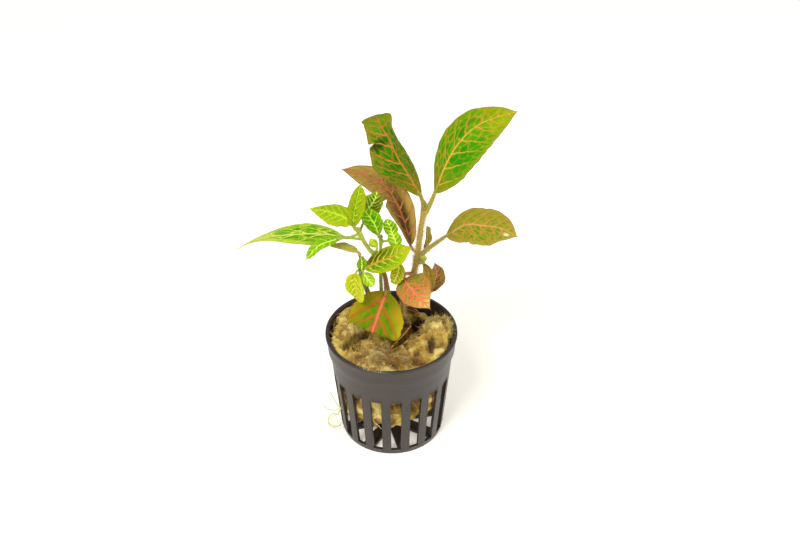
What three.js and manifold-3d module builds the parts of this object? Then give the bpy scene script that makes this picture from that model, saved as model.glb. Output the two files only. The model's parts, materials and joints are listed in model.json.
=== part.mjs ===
// A nerve plant with red-veined leaves and a spray of young green ones, rooted in a lump of
// rock wool in a small black net pot. Millimetres, +Z up. The origin is the middle of the pot's
// foot, on the surface that it stands on, and -Y is the side that the plant turns its leaves to.
import * as THREE from "three";
import Module from "manifold-3d";
import { mergeVertices } from "three/addons/utils/BufferGeometryUtils.js";

const wasm = await Module();
wasm.setup();

// Driving dimensions of the pot
const POT_HEIGHT = 50;
const FOOT_RADIUS = 20.9;
const WALL_RADIUS_LOW = 21.6;
const WALL_RADIUS_HIGH = 25.6;
const WALL_THICKNESS = 1.2;
const COLLAR_LEVEL = 41.5;
const COLLAR_RADIUS = 26.4;
const COLLAR_RADIUS_HIGH = 26.9;
const RIM_RADIUS = 27.3;
const RIM_DEPTH = 1.6;
const FLOOR_THICKNESS = 1.6;
const POT_SEGMENTS = 54;

// The upright slots in the wall and the openings in the floor
const SLOT_COUNT = 18;
const SLOT_PHASE = -85.8;
const BAR_WIDTH = 3.7;
const SLOT_LOW = 2.8;
const SLOT_HIGH = 31.2;
const SPOKE_COUNT = 8;
const SPOKE_PHASE = -75.5;
const SPOKE_WIDTH = 5;
const HUB_RADIUS = 7.5;
const FLOOR_OPENING_RADIUS = 19.6;

// The lump of rock wool
const WOOL_TOP = 45.5;
const WOOL_BOTTOM = 15;
const WOOL_GAP = 0.4;
const WOOL_SIDES = 38;

// The plant
const GAP = 0.3;
const TOWARDS_LIGHT = new THREE.Vector3(0, -0.81, 0.59);
const BLADE_THICKNESS = 0.6;
const BLADE_END = 0.45;
const TIP_REACH = 0.2;
const RIB_DEPTH = 0.35;
const FRAME_STEPS = 48;

const radians = THREE.MathUtils.degToRad;

function wallRadius(z) {
  return WALL_RADIUS_LOW + ((WALL_RADIUS_HIGH - WALL_RADIUS_LOW) * z) / COLLAR_LEVEL;
}

// The geometry with its shared corners merged and its faces turned outwards
function closed(geometry) {
  geometry.deleteAttribute("normal");
  geometry.deleteAttribute("uv");
  const merged = mergeVertices(geometry, 1e-4);
  const place = merged.getAttribute("position");
  const index = merged.getIndex();
  const corners = [new THREE.Vector3(), new THREE.Vector3(), new THREE.Vector3()];
  const kept = [];
  let volume = 0;
  for (let i = 0; i < index.count; i += 3) {
    const face = [index.getX(i), index.getX(i + 1), index.getX(i + 2)];
    if (new Set(face).size < 3) {
      continue;
    }
    face.forEach((vertex, k) => corners[k].fromBufferAttribute(place, vertex));
    volume += corners[0].dot(corners[1].clone().cross(corners[2]));
    kept.push(face);
  }
  merged.setIndex(kept.flatMap(([a, b, c]) => (volume < 0 ? [a, c, b] : [a, b, c])));
  return merged;
}

function solidOf(geometry) {
  const ready = closed(geometry);
  return new wasm.Manifold(new wasm.Mesh({
    numProp: 3,
    vertProperties: new Float32Array(ready.getAttribute("position").array),
    triVerts: new Uint32Array(ready.getIndex().array),
  }));
}

function geometryOf(solid) {
  const mesh = solid.getMesh();
  const geometry = new THREE.BufferGeometry();
  geometry.setAttribute("position", new THREE.BufferAttribute(new Float32Array(mesh.vertProperties), 3));
  geometry.setIndex(new THREE.BufferAttribute(new Uint32Array(mesh.triVerts), 1));
  geometry.computeVertexNormals();
  return geometry;
}

// A mesh from rings of points of equal length, closed by a point at either end
function lofted(rings, first, last) {
  const sides = rings[0].length;
  const points = [first, ...rings.flat(), last];
  const faces = [];
  for (let i = 0; i < sides; i++) {
    const next = (i + 1) % sides;
    faces.push(0, 1 + next, 1 + i);
    for (let ring = 0; ring < rings.length - 1; ring++) {
      const low = 1 + ring * sides;
      const high = low + sides;
      faces.push(low + i, low + next, high + next, low + i, high + next, high + i);
    }
    const top = 1 + (rings.length - 1) * sides;
    faces.push(top + i, top + next, points.length - 1);
  }
  const geometry = new THREE.BufferGeometry();
  const places = new Float32Array(points.flatMap((point) => [point.x, point.y, point.z]));
  geometry.setAttribute("position", new THREE.BufferAttribute(places, 3));
  geometry.setIndex(faces);
  return geometry;
}

function curveThrough(points) {
  return new THREE.CatmullRomCurve3(points.map((point) => new THREE.Vector3(...point)), false, "catmullrom");
}

// Stations along a curve, each with a normal that is carried on without twisting
function stationsAlong(curve, steps, firstNormal) {
  const stations = [];
  let normal = firstNormal;
  for (let step = 0; step <= steps; step++) {
    const u = step / steps;
    const along = curve.getTangentAt(u);
    normal = normal.clone().addScaledVector(along, -normal.dot(along)).normalize();
    stations.push({ u, place: curve.getPointAt(u), along, normal });
  }
  return stations;
}

// A round tube along a curve, with a radius that may change from its foot to its end
function tube(curve, radiusAt, sides, steps) {
  const side = new THREE.Vector3(0.36, 0.9, 0.24);
  const stations = stationsAlong(curve, steps, side);
  const rings = stations.map(({ u, place, along, normal }) => {
    const across = along.clone().cross(normal);
    return Array.from({ length: sides }, (_, i) => {
      const turn = (2 * Math.PI * i) / sides;
      const radius = radiusAt(u);
      return place.clone()
        .addScaledVector(normal, radius * Math.cos(turn))
        .addScaledVector(across, radius * Math.sin(turn));
    });
  });
  return lofted(rings, stations[0].place, stations[steps].place);
}

function material(colour, roughness) {
  return new THREE.MeshStandardMaterial({ color: colour, roughness, metalness: 0 });
}

const parts = new THREE.Group();

function add(name, geometry, finish) {
  const mesh = new THREE.Mesh(geometry, finish);
  mesh.name = name;
  parts.add(mesh);
}

// The wall, collar, rim and floor turned as one cup
function potCup() {
  const inner = (radius) => radius - WALL_THICKNESS;
  const profile = [
    [0, 0],
    [FOOT_RADIUS, 0],
    [WALL_RADIUS_LOW, 0.9],
    [WALL_RADIUS_HIGH, COLLAR_LEVEL - 0.4],
    [COLLAR_RADIUS, COLLAR_LEVEL + 0.4],
    [COLLAR_RADIUS_HIGH, POT_HEIGHT - RIM_DEPTH],
    [RIM_RADIUS, POT_HEIGHT - RIM_DEPTH + 0.4],
    [RIM_RADIUS, POT_HEIGHT - 0.4],
    [RIM_RADIUS - 0.4, POT_HEIGHT],
    [inner(COLLAR_RADIUS_HIGH) + 0.3, POT_HEIGHT],
    [inner(COLLAR_RADIUS_HIGH), POT_HEIGHT - 0.5],
    [inner(COLLAR_RADIUS), COLLAR_LEVEL + 0.4],
    [inner(WALL_RADIUS_HIGH), COLLAR_LEVEL - 0.4],
    [inner(WALL_RADIUS_LOW), FLOOR_THICKNESS],
    [0, FLOOR_THICKNESS],
  ];
  const outline = profile.map(([radius, level]) => new THREE.Vector2(radius, level));
  return new THREE.LatheGeometry(outline, POT_SEGMENTS).rotateX(Math.PI / 2);
}

// The cutter of one slot: a wedge that leaves bars of even width between slots
function slotCutter(index) {
  const widthAt = (z) => (2 * Math.PI * wallRadius(z)) / SLOT_COUNT - BAR_WIDTH;
  const low = widthAt(SLOT_LOW) / 2;
  const high = widthAt(SLOT_HIGH) / 2;
  const outline = new THREE.Shape([
    new THREE.Vector2(-low, SLOT_LOW),
    new THREE.Vector2(low, SLOT_LOW),
    new THREE.Vector2(high, SLOT_HIGH),
    new THREE.Vector2(-high, SLOT_HIGH),
  ]);
  const depth = 10;
  const cutter = new THREE.ExtrudeGeometry(outline, { depth, bevelEnabled: false });
  cutter.rotateX(Math.PI / 2).translate(0, -FOOT_RADIUS + 3, 0);
  const turn = SLOT_PHASE + (360 / SLOT_COUNT) * index;
  return cutter.rotateZ(radians(turn + 90));
}

// The cutter of one opening in the floor, between two spokes
function floorCutter(index) {
  const sector = (2 * Math.PI) / SPOKE_COUNT;
  const outerTurn = Math.asin(SPOKE_WIDTH / 2 / FLOOR_OPENING_RADIUS);
  const innerTurn = Math.asin(SPOKE_WIDTH / 2 / HUB_RADIUS);
  const outline = new THREE.Shape();
  outline.absarc(0, 0, FLOOR_OPENING_RADIUS, outerTurn, sector - outerTurn, false);
  outline.absarc(0, 0, HUB_RADIUS, sector - innerTurn, innerTurn, true);
  const cutter = new THREE.ExtrudeGeometry(outline, {
    depth: 2 * FLOOR_THICKNESS,
    bevelEnabled: false,
    curveSegments: 6,
  });
  cutter.translate(0, 0, -FLOOR_THICKNESS / 2);
  return cutter.rotateZ(radians(SPOKE_PHASE) + sector * index);
}

function netPot() {
  let pot = solidOf(potCup());
  for (let index = 0; index < SLOT_COUNT; index++) {
    pot = pot.subtract(solidOf(slotCutter(index)));
  }
  for (let index = 0; index < SPOKE_COUNT; index++) {
    pot = pot.subtract(solidOf(floorCutter(index)));
  }
  return geometryOf(pot);
}

// Lumps and hollows of the wool's top: x, y, reach and height of each
const WOOL_LUMPS = [
  [-8, -22, 8, 4],
  [6, -21, 8, 2.2],
  [-20, -2, 8, 3.6],
  [-18, 12, 8, 4.4],
  [23, 2, 9, 5.2],
  [15, -3, 8, 2.6],
  [21, -11, 6, 2.4],
  [6, 14, 6, -9],
  [17.5, -7.5, 3, -4],
  [-15, -8, 4, -3],
  [-8, -3, 5, -2.6],
  [16, 17, 7, -1.5],
  [-8, 20, 7, -2],
];

// Small unevenness that repeats nowhere on the lump
function ripple(x, y, z) {
  return Math.sin(0.9 * x + 1.7 * y + 0.4 * z) * Math.cos(1.3 * x - 0.6 * y + 1.1 * z);
}

function woolTopAt(x, y) {
  let level = WOOL_TOP + 0.5 * ripple(x, y, 0);
  for (const [lumpX, lumpY, reach, height] of WOOL_LUMPS) {
    const distance = Math.hypot(x - lumpX, y - lumpY) / reach;
    level += height * Math.exp(-distance * distance);
  }
  return level;
}

// The widest that the wool may be at a level, just clear of the pot's wall and collar
function woolReach(z) {
  const clear = WALL_THICKNESS + WOOL_GAP;
  const share = THREE.MathUtils.clamp((z - COLLAR_LEVEL - 2.5) / 4, 0, 1);
  const low = wallRadius(Math.min(z, COLLAR_LEVEL - 0.5));
  return low + (COLLAR_RADIUS_HIGH - low) * share - clear;
}

function woolBottomAt(x, y) {
  return WOOL_BOTTOM + 1.2 * ripple(0.5 * x, 0.5 * y, 3) + 0.15 * x;
}

// Rings from the middle of the underside, up the side and over to the middle of the top
function woolLump() {
  const underside = [0.35, 0.7, 0.93];
  const heights = [0.06, 0.22, 0.42, 0.62, 0.8, 0.93];
  const topside = [0.95, 0.86, 0.74, 0.6, 0.45, 0.3, 0.15];
  const ringAt = (pointAt) => Array.from({ length: WOOL_SIDES }, (_, i) => {
    const turn = (2 * Math.PI * i) / WOOL_SIDES;
    return pointAt(Math.cos(turn), Math.sin(turn));
  });
  const lowReach = woolReach(WOOL_BOTTOM);
  const highReach = woolReach(POT_HEIGHT);
  const rings = [
    ...underside.map((share) => ringAt((x, y) => {
      const reach = share * lowReach;
      return new THREE.Vector3(x * reach, y * reach, woolBottomAt(x * reach, y * reach));
    })),
    ...heights.map((share) => ringAt((x, y) => {
      const low = woolBottomAt(x * lowReach, y * lowReach);
      const high = woolTopAt(x * highReach, y * highReach);
      const level = low + share * (high - low);
      const dent = 0.8 * (1 + ripple(8 * x, 8 * y, 0.3 * level)) * Math.min(1, 2.5 * (1 - share));
      const reach = woolReach(level) - dent;
      return new THREE.Vector3(x * reach, y * reach, level);
    })),
    ...topside.map((share) => ringAt((x, y) => {
      const reach = share * highReach;
      return new THREE.Vector3(x * reach, y * reach, woolTopAt(x * reach, y * reach));
    })),
  ];
  const first = new THREE.Vector3(0, 0, woolBottomAt(0, 0));
  const last = new THREE.Vector3(0, 0, woolTopAt(0, 0));
  return lofted(rings, first, last);
}

// Stems: the points of each one's middle line from its buried foot up, its radius at the foot
// and at the top, the levels of its leaf nodes, and its colour
const STEMS = {
  stem_tall: {
    points: [[1, 4, 30], [2, 5, 46], [6, 6.5, 62], [9.5, 7, 75], [11, 6.5, 86], [12.2, 6, 97], [13.5, 6, 106]],
    radius: [1.35, 0.95],
    swellings: [[0.675, 0.35], [0.97, 0.3]],
    colour: 0x8a6a32,
  },
  stem_left: {
    points: [[-1, 0.5, 30], [-0.5, 0.5, 46], [-0.8, 0.5, 60], [-1.5, 0, 70], [-2.5, 0, 78.5], [-5.5, -1, 87.5],
      [-9, -2, 93.5], [-12.5, -3, 102]],
    radius: [1.3, 0.7],
    swellings: [[0.55, 0.25], [0.97, 0.3]],
    colour: 0x7a4a2a,
  },
  stem_low: {
    points: [[-5, 3, 32], [-5, 3, 47], [-7, 3.4, 57], [-9.1, 3.2, 66], [-11.4, 0.5, 77], [-11.8, -2.4, 84],
      [-11.3, -4, 89]],
    radius: [1.2, 0.9],
    swellings: [[0.8, 0.4], [0.97, 0.3]],
    colour: 0x5f7a24,
  },
  stem_thin: {
    points: [[-3, 5.5, 33], [-3, 5.5, 47], [-4, 5, 68], [-4, 5, 80], [-3.8, 5, 93]],
    radius: [0.9, 0.6],
    swellings: [[0.97, 0.2]],
    colour: 0x9a9a4a,
  },
};

function stemTube(stem, swell) {
  const curve = curveThrough(stem.points);
  const [low, high] = stem.radius;
  const radiusAt = (u) => {
    let radius = low + (high - low) * u + swell;
    for (const [place, height] of stem.swellings) {
      radius += height * Math.exp(-(((u - place) / 0.025) ** 2));
    }
    return radius;
  };
  return tube(curve, radiusAt, 7, 20);
}

// The root beside the pot: its way out through a slot, the ring that it makes, and a side branch
const ROOT_RADIUS = 0.35;
const ROOT_LEAD = [[-15.5, -4, 16], [-18.5, -4.7, 14.5], [-21.5, -5.5, 12.6]];
const ROOT_LOOP_CENTRE = [-24.6, -6, 5.4];
const ROOT_LOOP_RADIUS = 2.9;
const ROOT_LOOP_TURNS = [60, 110, 160, 210, 260, 310, 350];
const ROOT_BRANCH = [[-19.5, -5, 13.8], [-22.4, -5.9, 13], [-24.2, -6.2, 16.5], [-26.4, -6.4, 22.5]];

// Leaves: the stem and the point on it that each petiole springs from, the midrib's points from
// the blade's foot to its tip, the full width, the roll away from facing the light, the twist
// from foot to tip, the angles that the halves fold up at the foot and at the tip, how much they
// bend on towards the margin, the place of the greatest width, the taper of both ends, how blunt
// the tip is, how wide a square end is against the full width, how far the tip opens and turns on
// from the rest, how much wider one half is, and the height and number of waves. Angles are in degrees.
const RED_LEAF = {
  roll: 0, twist: 0, fold: [20, 10], curl: 0, fullest: 0.45, taper: 1.4, tip: 0.07, lopsided: 0,
  square: 0, tipOpen: 0, tipTurn: 0, wave: 0.4, waves: 2.5,
};
const YOUNG_LEAF = {
  roll: 0, twist: 0, fold: [12, 12], curl: -20, fullest: 0.45, taper: 1.2, tip: 0.06, lopsided: 0,
  square: 0, tipOpen: 0, tipTurn: 0, wave: 0.25, waves: 2,
};
const LARGE = { rows: 12, columns: 6 };
const MIDDLING = { rows: 8, columns: 4 };
const SMALL = { rows: 6, columns: 4 };
const LEAVES = {
  leaf_top_left: {
    ...RED_LEAF, stem: "stem_tall", foot: [12.9, 6, 104], width: 20.7, roll: 1.2, twist: 49.9,
    fold: [-60, -21], fullest: 0.47, taper: 1.03, tip: 0.16, lopsided: -0.04, square: 0.56, tipOpen: 14.7,
    tipTurn: -37.6,
    midrib: [[12.1, 6, 111.5], [7.9, 5, 121], [3.1, 6, 129.5], [-0.1, 8.5, 136.3], [-3, 11.5, 139.7],
      [-4.7, 16, 141.2], [-6, 20, 139.8]],
    colour: 0x5d8f1e, rows: 16, columns: 6,
  },
  leaf_top_right: {
    ...RED_LEAF, stem: "stem_tall", foot: [14, 6, 104], width: 20.65, roll: -29.6, twist: 2.7, fold: [-36, -10],
    fullest: 0.48, taper: 1.34, tip: 0.06,
    midrib: [[17.4, 6, 113.1], [21, 6, 124.8], [26.1, 9, 133.4], [33.1, 13, 138.8], [41.2, 16, 141.1],
      [49.3, 18, 142.3]],
    colour: 0x5d8f1e, ...LARGE,
  },
  leaf_right: {
    ...RED_LEAF, stem: "stem_tall", foot: [10.3, 6.8, 80.6], width: 15.9, roll: -29.5, twist: 1.9,
    fold: [-12, -1], curl: -20, fullest: 0.51, taper: 1.06, tip: 0.1,
    midrib: [[22, 2, 95.7], [29.3, 0, 102.2], [36.2, -2, 103.2], [42.9, -4, 103.2], [49.3, -6, 100.6]],
    colour: 0x7f8428, ...LARGE,
  },
  leaf_back: {
    ...RED_LEAF, stem: "stem_tall", foot: [11, 6.6, 84], width: 14, roll: 15, fold: [62, 15],
    midrib: [[8, 11, 85], [5, 13, 97], [1, 15, 106], [-3, 16, 111], [-11, 17, 115], [-19.5, 18, 117]],
    colour: 0x8a5a38, ...LARGE,
  },
  leaf_back_edge: {
    ...RED_LEAF, stem: "stem_tall", foot: [10.9, 6.6, 85], width: 5, roll: 65,
    midrib: [[13.8, 9.5, 84], [14.8, 11.5, 87], [15, 12.5, 90.5], [14.8, 12.5, 93.5]], colour: 0x55602a, ...SMALL,
  },
  leaf_low_right: {
    ...RED_LEAF, stem: "stem_tall", foot: [9.9, 6.9, 77.4], width: 5, roll: 15.7, fold: [34, 17], fullest: 0.46,
    midrib: [[13.2, 7.6, 78.2], [14.7, 7, 76.2], [16, 6, 71.6], [16.8, 5, 66.9]], colour: 0x6c7f2a, ...MIDDLING,
  },
  leaf_dark_right: {
    ...RED_LEAF, stem: "stem_tall", foot: [6.5, 6.5, 63], width: 8.1, roll: 28.6, twist: -5.4, fold: [34, 24],
    tip: 0.09, lopsided: -0.06,
    midrib: [[16.7, 9, 62.8], [17.6, 11, 65.6], [18.9, 13, 68.5], [18.1, 15, 73.4]], colour: 0x6e3a30, ...MIDDLING,
  },
  leaf_red_front: {
    ...RED_LEAF, stem: "stem_tall", foot: [9.2, 7, 73.5], width: 14.4, fold: [1, 3], fullest: 0.36, tip: 0.16,
    lopsided: -0.15,
    midrib: [[5.4, -2, 77.7], [6.8, -5, 77.1], [10.1, -8, 74.2], [15.9, -9, 67.6]], colour: 0xc0602f, ...LARGE,
  },
  leaf_front: {
    ...RED_LEAF, stem: "stem_left", foot: [-1.4, 0.1, 69], width: 22.6, roll: -0.8, twist: -6.8, fold: [-3, -3],
    fullest: 0.54, taper: 1.07, tip: 0.06,
    midrib: [[-1.6, -2, 71.3], [-4.4, -7.6, 66.8], [-7.2, -13.2, 61], [-8.2, -12, 58.8], [-9.8, -7, 58.4]],
    colour: 0x6f9a22, rows: 16, columns: 6,
  },
  leaf_withered: {
    ...RED_LEAF, stem: "stem_left", foot: [-0.8, 0.5, 60], width: 5, roll: 0, fold: [10, 10],
    midrib: [[8, 1, 51.2], [5.4, -4.2, 51.4], [2.4, -8.4, 50.8], [-1, -11.6, 48.8]], colour: 0x8a6a24, ...SMALL,
  },
  leaf_long_left: {
    ...YOUNG_LEAF, stem: "stem_left", foot: [-12, -2.9, 100.5], width: 10.8, roll: 38.3, twist: 8.1,
    fold: [2, 16], fullest: 0.33, taper: 3.26, tip: 0.02,
    midrib: [[-17.1, -4, 99.6], [-25.5, -7, 103.2], [-35.1, -10, 105.3], [-46, -12, 105.5], [-53.6, -13, 103.6],
      [-58.9, -13, 100.3]],
    colour: 0x8fc41c, rows: 12, columns: 4,
  },
  leaf_droop: {
    ...YOUNG_LEAF, stem: "stem_left", foot: [-10.8, -2.5, 97.4], width: 4.4, roll: 6.6, fold: [23, 29],
    fullest: 0.53, lopsided: 0.12,
    midrib: [[-19.9, -8.5, 102], [-22.7, -13.5, 104.4], [-27.2, -17, 104.5], [-32, -18, 98.8]],
    colour: 0x8fc41c, ...MIDDLING,
  },
  leaf_pale_left: {
    ...YOUNG_LEAF, stem: "stem_left", foot: [-12.7, -2.9, 101.5], width: 11.7, roll: 24.8, fold: [-21, -25],
    curl: 0, fullest: 0.4, taper: 1.15, tip: 0.17, lopsided: 0.11,
    midrib: [[-15, -0.5, 103.3], [-18.2, 2, 105.2], [-24.7, 5, 105.8], [-32.1, 7, 105.7]],
    colour: 0xa8d018, ...MIDDLING,
  },
  leaf_upright: {
    ...YOUNG_LEAF, stem: "stem_left", foot: [-12.2, -3.3, 101.6], width: 7.9, roll: 9.7, twist: 4.9,
    fold: [50, 33], fullest: 0.49,
    midrib: [[-14.2, -4.2, 104.8], [-14, -4, 108.9], [-12.8, -3, 115], [-11.1, -1, 122.1]],
    colour: 0x9acb16, ...MIDDLING,
  },
  leaf_behind: {
    ...YOUNG_LEAF, stem: "stem_left", foot: [-12, -2.8, 100.6], width: 8.5,
    midrib: [[-9.5, 3.2, 104.2], [-8, 5, 107.2], [-6, 6.5, 110], [-5, 8.5, 112.5]], colour: 0x4f8a1a, ...MIDDLING,
  },
  leaf_veined: {
    ...YOUNG_LEAF, stem: "stem_thin", foot: [-3.8, 5, 92], width: 7.5, twist: 4.6, fold: [-12, 14], fullest: 0.57,
    tip: 0.05,
    midrib: [[-4.7, 3, 95.3], [-5.7, 1, 101.1], [-7.9, 0, 106.3], [-10.7, 0, 110]], colour: 0x7cc41e, ...MIDDLING,
  },
  leaf_small_low: {
    ...YOUNG_LEAF, stem: "stem_thin", foot: [-3.9, 5, 87], width: 5.5,
    midrib: [[2.6, 1, 91.5], [2, 0.5, 94.5], [1, 0.5, 97.5], [0.2, 1, 99.5]], colour: 0x93d420, ...SMALL,
  },
  leaf_small_high: {
    ...YOUNG_LEAF, stem: "stem_thin", foot: [-3.8, 5, 91], width: 5.5,
    midrib: [[1, 4, 94.5], [0.4, 4, 97.5], [-0.8, 4, 100.5], [-1.6, 4.5, 102.5]], colour: 0x7cc41e, ...SMALL,
  },
  leaf_orange: {
    ...YOUNG_LEAF, stem: "stem_low", foot: [-11.4, -3.9, 87], width: 10.4, roll: -15.7, twist: 6.6,
    fold: [-9, -11], fullest: 0.49, tip: 0.11,
    midrib: [[-10.3, -5, 85.3], [-5.4, -6.5, 89.1], [-0.4, -7.5, 92.1], [4.5, -8, 95.4], [8.7, -8, 97.3]],
    colour: 0x8fbf22, rows: 12, columns: 4,
  },
  leaf_curl: {
    ...YOUNG_LEAF, stem: "stem_left", foot: [-3.4, -0.3, 81.5], width: 5.5,
    midrib: [[3.5, -3, 86], [3, -4, 82.5], [1.5, -5, 79], [0, -4, 77.5]], colour: 0x7fae20, ...SMALL,
  },
  leaf_brown_back: {
    ...YOUNG_LEAF, stem: "stem_low", foot: [-11.3, -4, 88], width: 8.9, roll: 107.7, twist: 7.7, fold: [7, -1],
    midrib: [[-12.5, -3.2, 91.2], [-13, -4, 93.4], [-17, -5, 96.1], [-24.6, -6, 97.7]],
    colour: 0x9a8a4a, ...MIDDLING,
  },
  leaf_yellow: {
    ...YOUNG_LEAF, stem: "stem_low", foot: [-11.5, -3.4, 83], width: 9.4, roll: 30.4, twist: 15.8, fold: [30, 6],
    fullest: 0.41, tip: 0.05,
    midrib: [[-13.8, -6, 83.6], [-13.9, -8, 80], [-13.5, -9, 75.5], [-12.2, -8, 70.3]],
    colour: 0xb4dc20, ...MIDDLING,
  },
  leaf_low_small: {
    ...YOUNG_LEAF, stem: "stem_low", foot: [-11.4, -3.6, 84.5], width: 5,
    midrib: [[-10.6, -6.4, 84], [-9.5, -8, 83], [-8, -9, 81.5], [-6.5, -9, 79.5]], colour: 0x9acb16, ...SMALL,
  },
};

function halfWidth(leaf, u) {
  const rise = (u / leaf.fullest) ** (leaf.fullest * leaf.taper);
  const fall = ((1 - u) / (1 - leaf.fullest)) ** ((1 - leaf.fullest) * leaf.taper);
  const point = 1 - Math.exp((u - 1) / leaf.tip);
  const square = u > 0.5 ? leaf.square : 0;
  return Math.max((leaf.width / 2) * Math.max(rise * fall * point, square), BLADE_END);
}

// The blade's section is an arc on either side of the midrib, with a ripple along the margin
function bladeCorner(leaf, station, v) {
  const { u, place, along } = station;
  const nearTip = Math.exp(-(((1 - u) / TIP_REACH) ** 2));
  const twist = leaf.twist * u + leaf.tipTurn * nearTip;
  const normal = station.normal.clone().applyAxisAngle(along, radians(twist));
  const across = along.clone().cross(normal);
  const reach = Math.abs(v);
  const side = Math.sign(v);
  const half = halfWidth(leaf, u) * (1 + leaf.lopsided * side);
  const fold = radians(leaf.fold[0] + (leaf.fold[1] - leaf.fold[0]) * u + leaf.tipOpen * nearTip);
  const curl = radians(leaf.curl) || 1e-6;
  const angle = fold + curl * reach;
  const out = (half * (Math.sin(angle) - Math.sin(fold))) / curl;
  const share = half / (leaf.width / 2);
  const swing = Math.sin(2 * Math.PI * leaf.waves * u + 1.3 * side);
  const rise = (half * (Math.cos(fold) - Math.cos(angle))) / curl + leaf.wave * share * reach * reach * swing;
  return {
    middle: place.clone().addScaledVector(across, side * out).addScaledVector(normal, rise),
    outward: normal.clone().multiplyScalar(Math.cos(angle)).addScaledVector(across, -side * Math.sin(angle)),
  };
}

// A thin blade: the same grid of corners above and below, closed round its edge
function bladeGeometry(leaf) {
  const { columns } = leaf;
  const midrib = curveThrough(leaf.midrib);
  const start = midrib.getTangentAt(0);
  const level = TOWARDS_LIGHT.clone().addScaledVector(start, -start.dot(TOWARDS_LIGHT)).normalize();
  const stations = stationsAlong(midrib, FRAME_STEPS, level.applyAxisAngle(start, radians(leaf.roll)));
  const upper = [];
  const lower = [];
  for (let row = 0; row <= leaf.rows; row++) {
    const station = stations[(row * FRAME_STEPS) / leaf.rows];
    for (let column = 0; column <= columns; column++) {
      const v = (2 * column) / columns - 1;
      const { middle, outward } = bladeCorner(leaf, station, v);
      const rib = column === columns / 2 ? RIB_DEPTH * (1 - 0.7 * station.u) : 0;
      upper.push(middle.clone().addScaledVector(outward, BLADE_THICKNESS / 2));
      lower.push(middle.clone().addScaledVector(outward, -BLADE_THICKNESS / 2 - rib));
    }
  }
  const stride = columns + 1;
  const under = upper.length;
  const faces = [];
  for (let row = 0; row < leaf.rows; row++) {
    for (let column = 0; column < columns; column++) {
      const a = row * stride + column;
      const b = a + 1;
      const c = a + stride;
      const d = c + 1;
      faces.push(a, b, d, a, d, c);
      faces.push(under + a, under + d, under + b, under + a, under + c, under + d);
    }
  }
  const bridge = (a, b) => faces.push(a, under + a, under + b, a, under + b, b);
  for (let column = 0; column < columns; column++) {
    bridge(column, column + 1);
    bridge(leaf.rows * stride + column + 1, leaf.rows * stride + column);
  }
  for (let row = 0; row < leaf.rows; row++) {
    bridge((row + 1) * stride, row * stride);
    bridge(row * stride + columns, (row + 1) * stride + columns);
  }
  const geometry = new THREE.BufferGeometry();
  const places = new Float32Array([...upper, ...lower].flatMap((point) => [point.x, point.y, point.z]));
  geometry.setAttribute("position", new THREE.BufferAttribute(places, 3));
  geometry.setIndex(faces);
  return geometry;
}

// The stalk from the stem's middle line into the blade's foot
function petioleGeometry(leaf) {
  const midrib = curveThrough(leaf.midrib);
  const start = new THREE.Vector3(...leaf.foot);
  const join = midrib.getPointAt(0);
  const end = midrib.getPointAt(0.1);
  const lead = midrib.getTangentAt(0).multiplyScalar(-0.3 * start.distanceTo(join));
  const bend = join.clone().add(lead);
  const curve = new THREE.CatmullRomCurve3([start, bend.lerp(start, 0.35), join, end], false, "catmullrom");
  const radius = THREE.MathUtils.clamp(leaf.width * 0.045, 0.45, 0.85);
  return tube(curve, (u) => radius * (1 - 0.35 * u), 5, 4);
}

const clearances = {};
for (const [name, stem] of Object.entries(STEMS)) {
  clearances[name] = solidOf(stemTube(stem, GAP));
}

function leafSolid(leaf) {
  const grown = solidOf(bladeGeometry(leaf)).add(solidOf(petioleGeometry(leaf)));
  return grown.subtract(clearances[leaf.stem]);
}

// A thin root that leaves the wool through a slot on the left, loops once and comes back
function rootSolid(swell) {
  const loop = ROOT_LOOP_TURNS.map((turn) => [
    ROOT_LOOP_CENTRE[0] + ROOT_LOOP_RADIUS * Math.cos(radians(turn)),
    ROOT_LOOP_CENTRE[1] + 0.59 * ROOT_LOOP_RADIUS * Math.sin(radians(turn)),
    ROOT_LOOP_CENTRE[2] + 0.81 * ROOT_LOOP_RADIUS * Math.sin(radians(turn)),
  ]);
  const looped = tube(curveThrough([...ROOT_LEAD, ...loop]), () => ROOT_RADIUS + swell, 5, 26);
  const branch = tube(curveThrough(ROOT_BRANCH), () => ROOT_RADIUS + swell, 5, 10);
  return solidOf(looped).add(solidOf(branch));
}

function rockWool() {
  let wool = solidOf(woolLump());
  for (const clearance of Object.values(clearances)) {
    wool = wool.subtract(clearance);
  }
  return geometryOf(wool.subtract(rootSolid(GAP)));
}

add("net_pot", netPot(), material(0x565254, 0.45));
add("rock_wool", rockWool(), material(0xb0984f, 0.95));
for (const [name, stem] of Object.entries(STEMS)) {
  add(name, closed(stemTube(stem, 0)), material(stem.colour, 0.6));
}
add("root_loop", geometryOf(rootSolid(0)), material(0xe0d9a8, 0.7));
for (const [name, leaf] of Object.entries(LEAVES)) {
  add(name, geometryOf(leafSolid(leaf)), material(leaf.colour, 0.5));
}

export default parts;
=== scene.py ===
"""The finished look of a nerve plant in a small net pot: veined leaves, hairy stems, rock wool and
moulded plastic. Shapes are worked out in millimetres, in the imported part's own frame."""

import json
import math

import bpy
import numpy as np
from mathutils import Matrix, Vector, noise

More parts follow.
